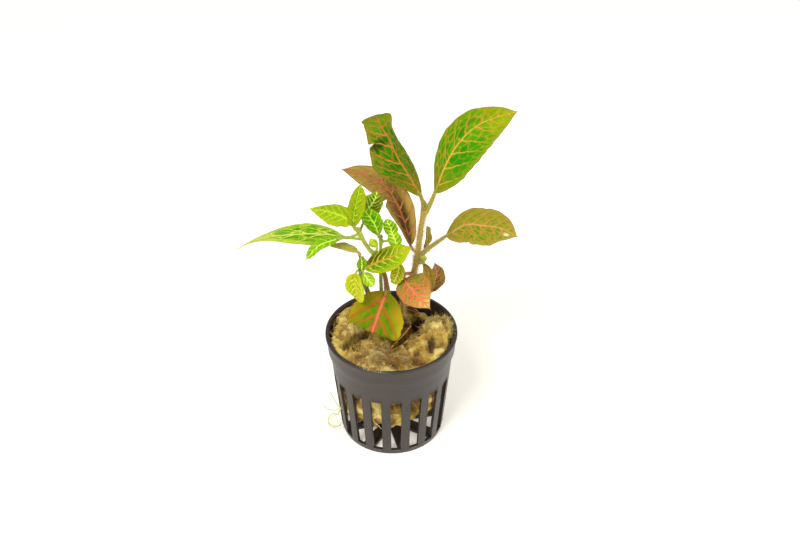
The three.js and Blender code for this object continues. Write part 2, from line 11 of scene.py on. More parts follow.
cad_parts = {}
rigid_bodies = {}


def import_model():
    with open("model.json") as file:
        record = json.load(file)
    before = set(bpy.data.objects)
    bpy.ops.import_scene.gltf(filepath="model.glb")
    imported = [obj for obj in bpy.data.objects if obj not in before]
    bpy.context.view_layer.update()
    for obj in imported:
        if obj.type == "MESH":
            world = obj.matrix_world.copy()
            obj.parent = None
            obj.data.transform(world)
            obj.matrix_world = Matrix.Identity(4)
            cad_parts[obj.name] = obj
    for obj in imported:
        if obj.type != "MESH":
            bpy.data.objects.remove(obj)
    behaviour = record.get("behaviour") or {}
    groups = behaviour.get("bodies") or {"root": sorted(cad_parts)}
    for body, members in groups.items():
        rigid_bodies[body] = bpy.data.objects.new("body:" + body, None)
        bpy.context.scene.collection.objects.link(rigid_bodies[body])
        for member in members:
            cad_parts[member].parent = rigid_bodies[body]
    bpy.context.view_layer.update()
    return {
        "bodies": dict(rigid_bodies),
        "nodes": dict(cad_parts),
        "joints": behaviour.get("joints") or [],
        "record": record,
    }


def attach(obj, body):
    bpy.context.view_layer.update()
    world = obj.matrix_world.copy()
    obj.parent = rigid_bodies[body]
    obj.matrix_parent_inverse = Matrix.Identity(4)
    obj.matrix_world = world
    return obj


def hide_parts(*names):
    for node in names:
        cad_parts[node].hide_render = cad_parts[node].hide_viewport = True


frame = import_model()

MM = 0.001

# The photograph's frame and the camera that fits it
PHOTO_WIDTH = 800
SENSOR_WIDTH = 36
FOCAL_PIXELS = 1305.25
CAMERA_TARGET = (3.74, 0, 82.39)
CAMERA_DISTANCE = 520
CAMERA_ELEVATION = 36.13
CAMERA_ROLL = -0.37

# The pot, as in the part
POT_HEIGHT = 50
FOOT_RADIUS = 20.9
WALL_RADIUS_LOW = 21.6
WALL_RADIUS_HIGH = 25.6
WALL_THICKNESS = 1.2
COLLAR_LEVEL = 41.5
COLLAR_RADIUS = 26.4
COLLAR_RADIUS_HIGH = 26.9
RIM_RADIUS = 27.3
RIM_DEPTH = 1.6
FLOOR_THICKNESS = 1.6
SLOT_COUNT = 18
SLOT_PHASE = -85.8
BAR_WIDTH = 3.7
SLOT_LOW = 2.8
SLOT_HIGH = 31.2
SLOT_LEVELS = 9
ROWS_BELOW_SLOTS = 3
SLOT_STEPS = 6
BAR_STEPS = 6
SPOKE_COUNT = 8
SPOKE_PHASE = -75.5
SPOKE_WIDTH = 5
HUB_RADIUS = 7.5
FLOOR_OPENING_RADIUS = 19.6
FLOOR_STEPS = 6
SPOKE_STEPS = 4
OPENING_STEPS = 12
EDGE_ROUNDING = 0.22
SHARP_EDGE = 35

# The rock wool, the band beside the pot's wall in which it bulges less, and x, y, reach and height of
# each lump and hollow of its top
WOOL_TOP = 45.5
WOOL_BOTTOM = 15
WOOL_GAP = 0.4
WOOL_SIDES = 260
WOOL_RINGS = dict(below=22, beside=46, on_top=62)
WALL_BAND = 2.2
WALL_BAND_TOP = 46
WALL_BULGE = 0.25
WOOL_LUMPS = [
    (-8, -22, 8, 4), (6, -21, 8, 2.2), (-20, -2, 8, 3.6), (-18, 12, 8, 4.4), (23, 2, 9, 5.2),
    (15, -3, 8, 2.6), (21, -11, 6, 2.4), (6, 14, 6, -9), (17.5, -7.5, 3, -4), (-15, -8, 4, -3),
    (-8, -3, 5, -2.6), (16, 17, 7, -1.5), (-8, 20, 7, -2),
]

# Smaller lumps and hollows that only the finished look has, in the same way
WOOL_HOLLOWS = [
    (9, 13.5, 6, -6), (6, 5, 4, -1.5), (16, -5.6, 2.4, -2.5), (12, -11.5, 3, -1), (-5.5, -6.2, 2.5, -1),
    (-8.5, -22.5, 5, 3), (20, 6, 5, 2), (-20, 1, 5, 1.6), (-12, -9, 4, 1), (9, -2, 3.5, 1.2),
]

# Places of the top painted dark as shade, in its hollows and under leaves, and its browner ones: x, y and
# reach of each. Both kinds end at a level, and the shaded ones also at a distance from the pot's axis.
PAINTED_SHADE_SPOTS = [
    (8.8, 14, 6.8), (6.8, 6.5, 3.2), (3.4, 0, 2), (16.2, -5.4, 1.9), (14.6, -4.4, 1.2), (13, 19, 4),
]
BROWN_SPOTS = [
    (9.8, -16, 5), (-13, 2.6, 3.2), (-2.5, -17, 7.5), (17, -9, 4), (-3, -9, 6), (-12, -14, 5), (4, -16, 6),
]
SHADE_REACH = 22.5
SPOT_LEVEL = 22

# The groove in the wool on the left, as a row of small hollows, with painted shade along it
GROOVE_START = (-20.4, -7.8)
GROOVE_END = (-9.6, 3.2)
GROOVE_STEPS = 11
GROOVE_REACH = 1.1
GROOVE_DEPTH = -1.7
GROOVE_SHADE = 1.1

# Loose strands: how many lie anywhere, then x, y, reach and number of each tuft, and the tuft that
# hangs over the rim in front, by its angle round the axis
STRANDS = 4400
TUFTS = [(-8, -25.4, 4.5, 320), (25.5, 1, 4, 260), (-20, -2, 5, 120), (18, 3, 6, 200)]
TUFT_LEVEL = 45
RIM_TUFT_TURN = -106
RIM_TUFT_SPREAD = 5
RIM_TUFT_STRANDS = 420
RIM_TUFT_START = (22.5, 25.2)
RIM_TUFT_END = 28.1
STRAND_SHORTEST = 1.2
STRAND_LONGEST = 3.6
STRAND_RADII = 0.07 * np.array([1, 1, 1, 0.9, 0.7, 0.35])
STRAND_STEPS = len(STRAND_RADII) - 1
STRAND_SIDES = 3

# The stems: points of the middle line, radius at foot and top, swellings at the leaf nodes (share of
# the length, height), between which shares the low colour turns into the high one, and the hairs
STEMS = {
    "stem_tall": dict(
        points=[(1, 4, 30), (2, 5, 46), (6, 6.5, 62), (9.5, 7, 75), (11, 6.5, 86), (12.2, 6, 97),
                (13.5, 6, 106)],
        radius=(1.35, 0.95), swellings=[(0.675, 0.35), (0.97, 0.3)], slot="stem_brown", turn=(0.2, 0.95),
        low="a07c1c", high="b0982c", hair="f2d894", hairs=2800, hair_length=2.0),
    "stem_left": dict(
        points=[(-1, 0.5, 30), (-0.5, 0.5, 46), (-0.8, 0.5, 60), (-1.5, 0, 70), (-2.5, 0, 78.5),
                (-5.5, -1, 87.5), (-9, -2, 93.5), (-12.5, -3, 102)],
        radius=(1.3, 0.7), swellings=[(0.55, 0.25), (0.97, 0.3)], slot="stem_brown", turn=(0.62, 0.8),
        low="743e0c", high="a8c030", hair="d2b466", hairs=1300, hair_length=0.9),
    "stem_low": dict(
        points=[(-5, 3, 32), (-5, 3, 47), (-7, 3.4, 57), (-9.1, 3.2, 66), (-11.4, 0.5, 77),
                (-11.8, -2.4, 84), (-11.3, -4, 89)],
        radius=(1.2, 0.9), swellings=[(0.8, 0.4), (0.97, 0.3)], slot="stem_green", turn=(0.2, 0.95),
        low="6e601c", high="76981c", hair="e0d8a4", hairs=1300, hair_length=0.9),
    "stem_thin": dict(
        points=[(-3, 5.5, 33), (-3, 5.5, 47), (-4, 5, 68), (-4, 5, 80), (-3.8, 5, 93)],
        radius=(0.9, 0.6), swellings=[(0.97, 0.2)], slot="stem_green", turn=(0.2, 0.95),
        low="a08c3c", high="a8c438", hair="e4e0a8", hairs=1000, hair_length=0.8),
}
STEM_STEPS = 150
STEM_SIDES = 18
SWELLING_REACH = 0.025

# The buds in the leaf axils: place, direction, length and width of each
BUDS = {
    "stem_tall": [((13.5, 6, 104.6), (0.05, 0.2, 1), 4.6, 1.1),
                  ((12.2, 5.4, 82.2), (0.6, -0.5, 0.6), 3.4, 1.7),
                  ((11.8, 6, 80.8), (0.8, -0.4, 0.1), 2.4, 1.4)],
    "stem_left": [((-12.4, -3, 101.4), (-0.1, -0.2, 1), 2.6, 1.2)],
    "stem_low": [((-11.3, -4, 88.4), (0.1, -0.2, 1), 2.2, 1.1)],
    "stem_thin": [((-3.8, 5, 92.6), (0, -0.2, 1), 2.0, 1.0)],
}
BUD_STEPS = 10
BUD_SIDES = 10
BUD_HAIRS = 90

# The radii of the hairs on stems, stalks and buds, and the three angles of a hair's corners
STEM_HAIR = 0.042
STALK_HAIR = 0.04
BUD_HAIR = 0.028
HAIR_TURNS = (0, 2.094, 4.189)

# The root beside the pot
ROOT_RADIUS = 0.35
ROOT_SIDES = 10
ROOT_LEAD = [(-15.5, -4, 16), (-18.5, -4.7, 14.5), (-21.5, -5.5, 12.6)]
ROOT_LOOP_CENTRE = (-24.6, -6, 5.4)
ROOT_LOOP_RADIUS = 2.9
ROOT_LOOP_TURNS = [60, 110, 160, 210, 260, 310, 350]
ROOT_BRANCH = [(-19.5, -5, 13.8), (-22.4, -5.9, 13), (-24.2, -6.2, 16.5), (-26.4, -6.4, 22.5)]
ROOTLETS = [
    [(-6.5, -18, 26), (-5, -20.6, 24), (-6.6, -20.9, 20.6), (-9.3, -20.2, 19)],
    [(-8.2, -19.5, 18.6), (-7, -20.4, 17), (-5.6, -20.7, 15.6), (-4.4, -20.3, 13.2)],
    [(-20.5, -5.2, 13.6), (-23.4, -6.8, 9.6), (-26.4, -7, 7.4), (-27.4, -7.2, 4.6), (-25, -7.4, 2.6),
     (-22, -7, 3.4), (-21.2, -6.6, 5.4)],
    [(-20.8, -5.4, 13), (-24, -6.4, 11.6), (-27.6, -6.8, 12.4), (-29, -6.6, 15)],
]

# Leaves: what the part's leaves are made from, then the look. First come the roll about the midrib, the
# twist along it, the fold at foot and tip and the curl of each half, all in degrees, the place of the
# full width, the taper, the share by which one half is wider, and how square the tip is. The last
# stretch can open and turn more. The look's numbers are the waves of the margin, the sharpness of the
# tip, the pairs of side veins and how far they lean to the tip, the size of the fine cells, the width
# of the veins against a common one, how blurred they are, how much the fine ones show, how strong the
# blotches in the cells are, and the height of the quilting. A tint is a patch: its place along and
# across the blade, its reach both ways, its strength and colour. A notch is a bite in the margin: its
# place, side, depth and reach.
RED_LEAF = dict(slot="leaf_mature", roll=0, twist=0, fold=(20, 10), curl=0, fullest=0.45, taper=1.4,
                lopsided=0, square=0, tip_open=0, tip_turn=0, wave=0.4, waves=2.5, tip=0.07, pairs=6,
                lean=0.75, cells=2.5, vein_width=0.95, blur=0.1, net=0.75, mottle=0.4, quilt=0.36,
                stalk_size=1, tints=(), notches=())
YOUNG_LEAF = RED_LEAF | dict(slot="leaf_young", fold=(12, 12), curl=-20, taper=1.2, wave=0.25, waves=2,
                             tip=0.06, pairs=5, lean=0.8, cells=1.5, vein_width=0.85, blur=0.08,
                             net=0.25, quilt=0.4)

# Shares of the blade's length: the last stretch that can open and turn more, the rounding of a square
# tip, and the stretch by the foot that isn't quilted
TIP_REACH = 0.2
SQUARE_ROUNDING = 0.012
FLAT_FOOT = 0.06

# What all blades have in common, in mm: least half widths, thickness, the bands along the margin that
# are thinner and flatter, how far quilting rises from the veins, the ribs below, and the mesh
FOOT_HALF_WIDTH = 0.45
TIP_HALF_WIDTH = 0.1
BLADE_THICKNESS = 0.36
THIN_MARGIN = 0.5
FLAT_MARGIN = 1.2
PILLOW_REACH = 0.7
CELL_REACH = 0.4
RIB_DEPTH = 0.3
RIB_REACH = 0.45
VEIN_DEPTH = 0.14
VEIN_REACH = 0.2
LARGE_LEAF = 10
MESH_LARGE = 0.25
MESH_SMALL = 0.19
MOST_ROWS = 200

# Stalks: the least and the greatest radius, the share of it at the stem and at the blade, and the hairs
# for each mm of length and of radius
STALK_STEPS = 24
STALK_SIDES = 12
STALK_RADII = (0.45, 0.85)
STALK_TAPER = (1.15, 0.55)
STALK_HAIRS = 30

# The direction that a blade with no roll turns its face to
TOWARDS_LIGHT = np.array((0, -0.81, 0.59))

# Palettes: the cells and their middles, the border round the veins, the veins, the midrib, the outer
# band, the margin's line, the stalk and the underside
GREEN_ORANGE = dict(cell="4a9a00", deep="2c8600", rim="8a9c10", vein="d29838", rib="dca44c", edge="8c941c",
                    outline="64601a", stalk="aa9444", under="949c50")
OLIVE = dict(cell="70900a", deep="5a8806", rim="9c8c30", vein="c88840", rib="ce9c58", edge="a49042",
             outline="80702c", stalk="98904a", under="a09456")
RED_DARK = dict(cell="565412", deep="3e420c", rim="806228", vein="c46450", rib="d07058", edge="826a2c",
                outline="5c4624", stalk="a87050", under="a08460")
YELLOW_GREEN = dict(cell="8cac06", deep="78a004", rim="a4bc14", vein="ccdc48", rib="d0dc50", edge="a8b41c",
                    outline="949420", stalk="a4b43c", under="b0bc58")
LIVELY_GREEN = dict(cell="4a9000", deep="328200", rim="88bc0a", vein="d6f458", rib="dcfa62", edge="84ac14",
                    outline="6a9810", stalk="a0b43c", under="98b450")
BROWN = dict(cell="b0b43c", deep="9ca428", rim="bcb458", vein="cca868", rib="d0aa6c", edge="bcac5c",
             outline="9c8844", stalk="948040", under="bcb86c")

LEAVES = {
    "leaf_top_left": dict(
        RED_LEAF | GREEN_ORANGE, cell="328600", deep="1e6e00", rim="867e1c", vein="c87434", rib="cc7438",
        edge="868024", foot=(12.9, 6, 104), width=20.7, roll=1.2, twist=49.9, fold=(-60, -21), fullest=0.47,
        taper=1.03, tip=0.16, square=0.56, tip_open=14.7, tip_turn=-37.6, lopsided=-0.04, cells=3.1,
        notches=[(0.69, -1, 0.26, 0.014), (0.97, 1, -0.13, 0.13)],
        midrib=[(12.1, 6, 111.5), (7.9, 5, 121), (3.1, 6, 129.5), (-0.1, 8.5, 136.3), (-3, 11.5, 139.7),
                (-4.7, 16, 141.2), (-6, 20, 139.8)],
        # The first tint is painted shade below the crease where the tip folds over
        tints=[(0.65, -0.7, 0.045, 0.5, 0.95, "122806"), (0.9, 0, 0.14, 2, 0.45, "788c16"),
               (0.3, -0.2, 0.3, 0.5, 0.5, "226000"), (0, 0, 0.2, 2, 0.6, "98841c")]),
    "leaf_top_right": dict(
        RED_LEAF | GREEN_ORANGE, foot=(14, 6, 104), width=20.65, roll=-29.6, twist=2.7, fold=(-36, -10),
        fullest=0.48, taper=1.34, tip=0.06, cells=3.2,
        midrib=[(17.4, 6, 113.1), (21, 6, 124.8), (26.1, 9, 133.4), (33.1, 13, 138.8), (41.2, 16, 141.1),
                (49.3, 18, 142.3)],
        tints=[(0.98, 0, 0.24, 2, 0.6, "a8ac14"), (0, 0, 0.2, 2, 0.65, "94801c"),
               (0.35, 0.5, 0.22, 0.4, 0.7, "1e8400")]),
    "leaf_right": dict(
        RED_LEAF | OLIVE, foot=(10.3, 6.8, 80.6), width=15.9, roll=-29.5, twist=1.9, fold=(-12, -1),
        curl=-20, fullest=0.51, taper=1.06, blur=0.24, tip=0.1, net=0.8, stalk_size=1.35,
        midrib=[(22, 2, 95.7), (29.3, 0, 102.2), (36.2, -2, 103.2), (42.9, -4, 103.2), (49.3, -6, 100.6)],
        tints=[(0.5, -1, 0.6, 0.6, 0.6, "a09430"), (0.02, 0, 0.15, 2, 0.5, "8c7c30"),
               (0.86, 0.35, 0.035, 0.12, 1, "f2dca8")]),
    "leaf_back": dict(
        RED_LEAF | RED_DARK, cell="787c26", deep="606a18", rim="a88446", vein="d87464", edge="a08a44",
        slot="leaf_red", foot=(11, 6.6, 84), width=14, roll=15, fold=(62, 15), blur=0.12, net=1, cells=1.6,
        notches=[(0.5, -1, 0.45, 0.018)],
        midrib=[(8, 11, 85), (5, 13, 97), (1, 15, 106), (-3, 16, 111), (-11, 17, 115), (-19.5, 18, 117)],
        tints=[(0.95, 0, 0.42, 2, 0.5, "b89c50"), (0.3, 0.3, 0.24, 0.26, 0.85, "20280a"),
               (0.24, -0.45, 0.2, 0.3, 0.8, "2a300e"), (0.34, 1, 0.36, 0.42, 1, "c8a454")]),
    "leaf_back_edge": dict(
        RED_LEAF | OLIVE, cell="747c18", deep="606c10", vein="b89c48", foot=(10.9, 6.6, 85), width=5,
        roll=65, pairs=4, cells=1.2, vein_width=0.6,
        midrib=[(13.8, 9.5, 84), (14.8, 11.5, 87), (15, 12.5, 90.5), (14.8, 12.5, 93.5)]),
    "leaf_low_right": dict(
        RED_LEAF | OLIVE, cell="787010", deep="66620c", rim="907c30", vein="c0904a", foot=(9.9, 6.9, 77.4),
        width=5, roll=15.7, fold=(34, 17), fullest=0.46, pairs=4, cells=1.2, vein_width=0.6,
        midrib=[(13.2, 7.6, 78.2), (14.7, 7, 76.2), (16, 6, 71.6), (16.8, 5, 66.9)]),
    "leaf_dark_right": dict(
        RED_LEAF | RED_DARK, cell="7c6c22", deep="665616", rim="9c7c3c", vein="c87e64", rib="d48c70",
        slot="leaf_red", foot=(6.5, 6.5, 63), width=8.1, roll=28.6, twist=-5.4, fold=(34, 24), tip=0.09,
        lopsided=-0.06, pairs=4, cells=1.6, vein_width=0.7, net=0.6,
        midrib=[(16.7, 9, 62.8), (17.6, 11, 65.6), (18.9, 13, 68.5), (18.1, 15, 73.4)],
        tints=[(1, 0, 0.16, 2, 0.8, "d0b894")]),
    "leaf_red_front": dict(
        RED_LEAF | RED_DARK, cell="84841e", deep="6a7616", rim="bc8040", vein="dc6a50", rib="da7c58",
        edge="aa7838", outline="8c602a", slot="leaf_red", foot=(9.2, 7, 73.5), width=14.4, fold=(1, 3),
        fullest=0.36, lopsided=-0.15, pairs=5, cells=1.5, tip=0.16, net=1,
        midrib=[(5.4, -2, 77.7), (6.8, -5, 77.1), (10.1, -8, 74.2), (15.9, -9, 67.6)],
        tints=[(0.16, -0.6, 0.2, 0.4, 0.65, "6a8018"), (1, 0, 0.26, 2, 1, "e8d478"),
               (0.1, 0.4, 0.15, 0.5, 0.7, "74801c")]),
    "leaf_front": dict(
        RED_LEAF | GREEN_ORANGE, cell="528c04", deep="388000", rim="986a1c", vein="b85e20", rib="de7454",
        edge="a4901c", outline="806c18", foot=(-1.4, 0.1, 69), width=22.6, roll=-0.8, twist=-6.8,
        fold=(-3, -3), fullest=0.54, taper=1.07, tip=0.06, blur=0.38, pairs=3, vein_width=1.5, net=0.2,
        mottle=0.9, cells=2.8,
        midrib=[(-1.6, -2, 71.3), (-4.4, -7.6, 66.8), (-7.2, -13.2, 61), (-8.2, -12, 58.8),
                (-9.8, -7, 58.4)],
        tints=[(0.4, 0.95, 0.45, 0.35, 0.85, "98840e"), (0.3, -0.75, 0.2, 0.28, 0.55, "b88c1a"),
               (0.12, 0.45, 0.1, 0.3, 0.5, "b07424"), (0.55, -1, 0.3, 0.2, 0.6, "b8b01c"),
               (0.93, 0, 0.12, 1, 0.6, "94801c"), (0.62, 0, 0.07, 0.12, 0.9, "c43c4c")]),
    "leaf_withered": dict(
        RED_LEAF | BROWN, cell="6c4c14", deep="402208", rim="6a4a18", vein="7e5c2a", edge="4a2a0c",
        outline="3c2208", under="705020", slot="leaf_brown", foot=(-0.8, 0.5, 60), width=5, fold=(10, 10),
        wave=0.9, pairs=3, cells=1.2, vein_width=0.6,
        midrib=[(8, 1, 51.2), (5.4, -4.2, 51.4), (2.4, -8.4, 50.8), (-1, -11.6, 48.8)]),
    "leaf_long_left": dict(
        YOUNG_LEAF | LIVELY_GREEN, cell="4e9e02", deep="389000", rim="90b81c", vein="e0dc68", rib="dcd86c",
        edge="b0c438", outline="a4a84c", foot=(-12, -2.9, 100.5), width=10.8, roll=38.3, twist=8.1,
        fold=(2, 16), fullest=0.33, taper=3.26, tip=0.02, pairs=3, lean=2.6, cells=3.2, net=1, blur=0.05,
        midrib=[(-17.1, -4, 99.6), (-25.5, -7, 103.2), (-35.1, -10, 105.3), (-46, -12, 105.5),
                (-53.6, -13, 103.6), (-58.9, -13, 100.3)],
        tints=[(1, 0, 0.24, 2, 0.95, "ccd098")]),
    "leaf_droop": dict(
        YOUNG_LEAF | LIVELY_GREEN, cell="70b404", deep="58a800", rim="98c024", vein="c4d868",
        foot=(-10.8, -2.5, 97.4), width=4.4, roll=6.6, fold=(23, 29), fullest=0.53, lopsided=0.12,
        vein_width=0.6,
        midrib=[(-19.9, -8.5, 102), (-22.7, -13.5, 104.4), (-27.2, -17, 104.5), (-32, -18, 98.8)]),
    "leaf_pale_left": dict(
        YOUNG_LEAF | YELLOW_GREEN, cell="94bc02", deep="84ae00", rim="acc810", vein="c8d84a", rib="d4de58",
        edge="b0b820", outline="9c8424", foot=(-12.7, -2.9, 101.5), width=11.7, roll=24.8, fold=(-21, -25),
        curl=0, fullest=0.4, taper=1.15, tip=0.17, lopsided=0.11, vein_width=0.7, blur=0.16,
        midrib=[(-15, -0.5, 103.3), (-18.2, 2, 105.2), (-24.7, 5, 105.8), (-32.1, 7, 105.7)]),
    "leaf_upright": dict(
        YOUNG_LEAF | YELLOW_GREEN, cell="8cae02", deep="769c00", rim="9aa812", vein="c0d640", rib="c4da48",
        edge="98a414", outline="787418", foot=(-12.2, -3.3, 101.6), width=7.9, roll=9.7, twist=4.9,
        fold=(50, 33), fullest=0.49, vein_width=0.6,
        midrib=[(-14.2, -4.2, 104.8), (-14, -4, 108.9), (-12.8, -3, 115), (-11.1, -1, 122.1)]),
    "leaf_behind": dict(
        YOUNG_LEAF | LIVELY_GREEN, cell="5a7c06", deep="486404", rim="7c9418", vein="bcd458",
        foot=(-12, -2.8, 100.6), width=8.5, vein_width=0.75,
        midrib=[(-9.5, 3.2, 104.2), (-8, 5, 107.2), (-6, 6.5, 110), (-5, 8.5, 112.5)],
        tints=[(0.7, 0.8, 0.5, 0.5, 0.85, "54401c")]),
    "leaf_veined": dict(
        YOUNG_LEAF | LIVELY_GREEN, vein="bee43c", rib="c6ea48", foot=(-3.8, 5, 92), width=7.5, twist=4.6,
        fold=(-12, 14), fullest=0.57, tip=0.05, pairs=4,
        midrib=[(-4.7, 3, 95.3), (-5.7, 1, 101.1), (-7.9, 0, 106.3), (-10.7, 0, 110)]),
    "leaf_small_low": dict(
        YOUNG_LEAF | LIVELY_GREEN, cell="78b600", deep="5ea600", rim="a4cc1c", vein="e0f468",
        foot=(-3.9, 5, 87), width=5.5, pairs=3, vein_width=0.8,
        midrib=[(2.6, 1, 91.5), (2, 0.5, 94.5), (1, 0.5, 97.5), (0.2, 1, 99.5)]),
    "leaf_small_high": dict(
        YOUNG_LEAF | LIVELY_GREEN, foot=(-3.8, 5, 91), width=5.5, pairs=3, vein_width=0.8,
        midrib=[(1, 4, 94.5), (0.4, 4, 97.5), (-0.8, 4, 100.5), (-1.6, 4.5, 102.5)]),
    "leaf_orange": dict(
        YOUNG_LEAF | YELLOW_GREEN, cell="6c9c02", deep="548a00", rim="a0b414", rib="cc8a40",
        outline="8c8418", foot=(-11.4, -3.9, 87), width=10.4, roll=-15.7, twist=6.6, fold=(-9, -11),
        fullest=0.49, tip=0.11, pairs=6,
        midrib=[(-10.3, -5, 85.3), (-5.4, -6.5, 89.1), (-0.4, -7.5, 92.1), (4.5, -8, 95.4),
                (8.7, -8, 97.3)],
        tints=[(0.25, -0.65, 0.36, 0.7, 1, "4c420a"), (1, 0, 0.35, 2, 0.6, "b4c410")]),
    "leaf_curl": dict(
        YOUNG_LEAF | YELLOW_GREEN, cell="848802", deep="6e7802", rim="9c981c", vein="ccc850",
        outline="74641c", foot=(-3.4, -0.3, 81.5), width=5.5, vein_width=0.75,
        midrib=[(3.5, -3, 86), (3, -4, 82.5), (1.5, -5, 79), (0, -4, 77.5)]),
    "leaf_brown_back": dict(
        YOUNG_LEAF | BROWN, slot="leaf_brown", foot=(-11.3, -4, 88), width=8.9, roll=107.7, twist=7.7,
        fold=(7, -1),
        midrib=[(-12.5, -3.2, 91.2), (-13, -4, 93.4), (-17, -5, 96.1), (-24.6, -6, 97.7)]),
    "leaf_yellow": dict(
        YOUNG_LEAF | YELLOW_GREEN, cell="a4b806", deep="8aa202", rim="bcc81c", vein="dce054", rib="dca860",
        edge="ccd024", foot=(-11.5, -3.4, 83), width=9.4, roll=30.4, twist=15.8, fold=(30, 6), fullest=0.41,
        tip=0.05, vein_width=0.8,
        midrib=[(-13.8, -6, 83.6), (-13.9, -8, 80), (-13.5, -9, 75.5), (-12.2, -8, 70.3)]),
    "leaf_low_small": dict(
        YOUNG_LEAF | LIVELY_GREEN, cell="84ac08", deep="6c9c04", rim="a4c424", vein="d0e064",
        foot=(-11.4, -3.6, 84.5), width=5, pairs=3, vein_width=0.7,
        midrib=[(-10.6, -6.4, 84), (-9.5, -8, 83), (-8, -9, 81.5), (-6.5, -9, 79.5)]),
}

# Three small leaves that only the finished look has, and the number of the first for its random draws
FIRST_SMALL_LEAF = 40
SMALL_LEAVES = {
    "leaf_small_dark": dict(
        YOUNG_LEAF | LIVELY_GREEN, cell="3c7804", deep="2a5e02", rim="6c8c10", vein="98b838",
        foot=(-11.7, -3, 84.6), width=5, fold=(-20, -20), pairs=4, vein_width=0.6,
        midrib=[(-11.4, -5.2, 84), (-11.3, -5.8, 86), (-11.2, -5.6, 88.4), (-11.6, -5, 90.6)]),
    "leaf_small_curled": dict(
        YOUNG_LEAF | YELLOW_GREEN, foot=(-6.6, -1.4, 90), width=4.8, twist=40, fold=(-35, -30), pairs=4,
        vein_width=0.7,
        midrib=[(-5.2, -2.4, 93.4), (-5.8, -3.2, 95.2), (-6.8, -3.2, 97), (-7.8, -2.4, 98)]),
    "leaf_small_brown": dict(
        RED_LEAF | BROWN, cell="4c3410", deep="2e1a08", rim="6c4c20", vein="7c5c30", edge="8c6444",
        outline="c09078", under="705020", slot="leaf_brown", foot=(2.8, 5.4, 49), width=3.6, roll=20,
        wave=0.7, pairs=3, cells=1.2, vein_width=0.5,
        midrib=[(3.4, 13.6, 50.3), (6, 13.4, 50.6), (9, 12.2, 50.4), (12.2, 10.2, 49.6)]),
}

# Seeds of the random draws
LEAF_SEED = 100
STEM_SEED = 300
ROOT_SEED = 7
WOOL_SEED = 11

# The depth to which light enters leaves, stems and the root, in metres
SCATTER_DEPTH = 0.0006

# The light: the floor's own glow, the light from all round, and each lamp's place, size and power
WARM_WHITE = (1, 0.97, 0.9, 1)
FLOOR_SIZE = 6
FLOOR_GLOW = 0.3
FLOOR_WHITE = "fffdf8"
SKY_STRENGTH = 0.5
LAMPS = {"key": ((-0.35, -0.6, 0.95), 0.45, 8.5), "fill": ((0.7, -0.3, 0.5), 0.5, 2.5)}
LAMP_TARGET = Vector((0, 0, 0.07))


def colour(code):
    """A screen colour in six hexadecimal digits, as the shader's linear red, green, blue, alpha"""
    parts = [int(code[k:k + 2], 16) / 255 for k in (0, 2, 4)]
    linear = [part / 12.92 if part <= 0.04045 else ((part + 0.055) / 1.055) ** 2.4 for part in parts]
    return (*linear, 1)


def unit(vectors):
    return vectors / np.linalg.norm(vectors, axis=-1, keepdims=True)


def turned(vectors, axes, angles):
    """Each vector turned about a unit axis at right angles to it"""
    angles = np.asarray(angles)[..., None]
    return vectors * np.cos(angles) + np.cross(axes, vectors) * np.sin(angles)


def sideways(directions, chance):
    """Random directions at right angles to the given ones"""
    return unit(np.cross(directions, chance.normal(size=directions.shape)))


def bell(distances, reach):
    """A bell curve: 1 at no distance, 0.37 at the reach and soon 0 beyond it"""
    return np.exp(-((distances / reach) ** 2))


def beside(places, x=0, y=0):
    """Distances from the upright line through x, y, which is the pot's axis unless another is given"""
    return np.hypot(places[:, 0] - x, places[:, 1] - y)


def curve_through(points, steps):
    """Places and directions at even distances along a smooth curve, and the curve's length"""
    knots = np.array(points, float)
    knots = np.vstack([2 * knots[0] - knots[1], knots, 2 * knots[-1] - knots[-2]])
    spans = len(knots) - 3
    fine = np.linspace(0, spans, 60 * spans + 1)
    span = np.minimum(fine.astype(int), spans - 1)
    t = (fine - span)[:, None]
    a, b, c, d = (knots[span + k] for k in range(4))
    square, cube = 2 * a - 5 * b + 4 * c - d, 3 * b - a - 3 * c + d
    track = 0.5 * (2 * b + (c - a) * t + square * t**2 + cube * t**3)
    walked = np.concatenate([[0], np.cumsum(np.linalg.norm(np.diff(track, axis=0), axis=1))])
    even = np.linspace(0, walked[-1], steps + 1)
    places = np.stack([np.interp(even, walked, track[:, k]) for k in range(3)], axis=1)
    return places, unit(np.gradient(places, axis=0)), walked[-1]


def carried(along, first):
    """A normal at each station, carried on along the curve without twisting"""
    normals = []
    normal = np.asarray(first, float)
    for direction in along:
        normal = unit(normal - direction * normal.dot(direction))
        normals.append(normal)
    return np.array(normals)


class Shape:
    """Corners, faces and numbers per corner, gathered piece by piece into one mesh"""

    def __init__(self):
        self.corners = []
        self.faces = []
        self.marks = []
        self.count = 0

    def add(self, corners, faces, **marks):
        corners = np.asarray(corners, float).reshape(-1, 3)
        self.corners.append(corners)
        self.faces += [tuple(int(i) + self.count for i in face) for face in faces]
        self.marks.append({key: np.broadcast_to(value, len(corners)) for key, value in marks.items()})
        self.count += len(corners)

    def piece(self, name, nodes, slot, finish):
        mesh = bpy.data.meshes.new(name)
        corners = np.vstack(self.corners) * MM
        mesh.from_pydata(corners.tolist(), [], self.faces)
        mesh.validate()
        keys = sorted({key for marks in self.marks for key in marks})
        for key in keys:
            pairs = zip(self.marks, self.corners)
            blocks = [marks.get(key, np.zeros(len(block))) for marks, block in pairs]
            layer = mesh.attributes.new(key, "FLOAT", "POINT")
            layer.data.foreach_set("value", np.concatenate(blocks).astype(np.float32))
        mesh.shade_smooth()
        mesh.materials.append(finish)
        piece = bpy.data.objects.new(name, mesh)
        bpy.context.scene.collection.objects.link(piece)
        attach(piece, "root")
        if nodes:
            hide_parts(*nodes)
        return piece


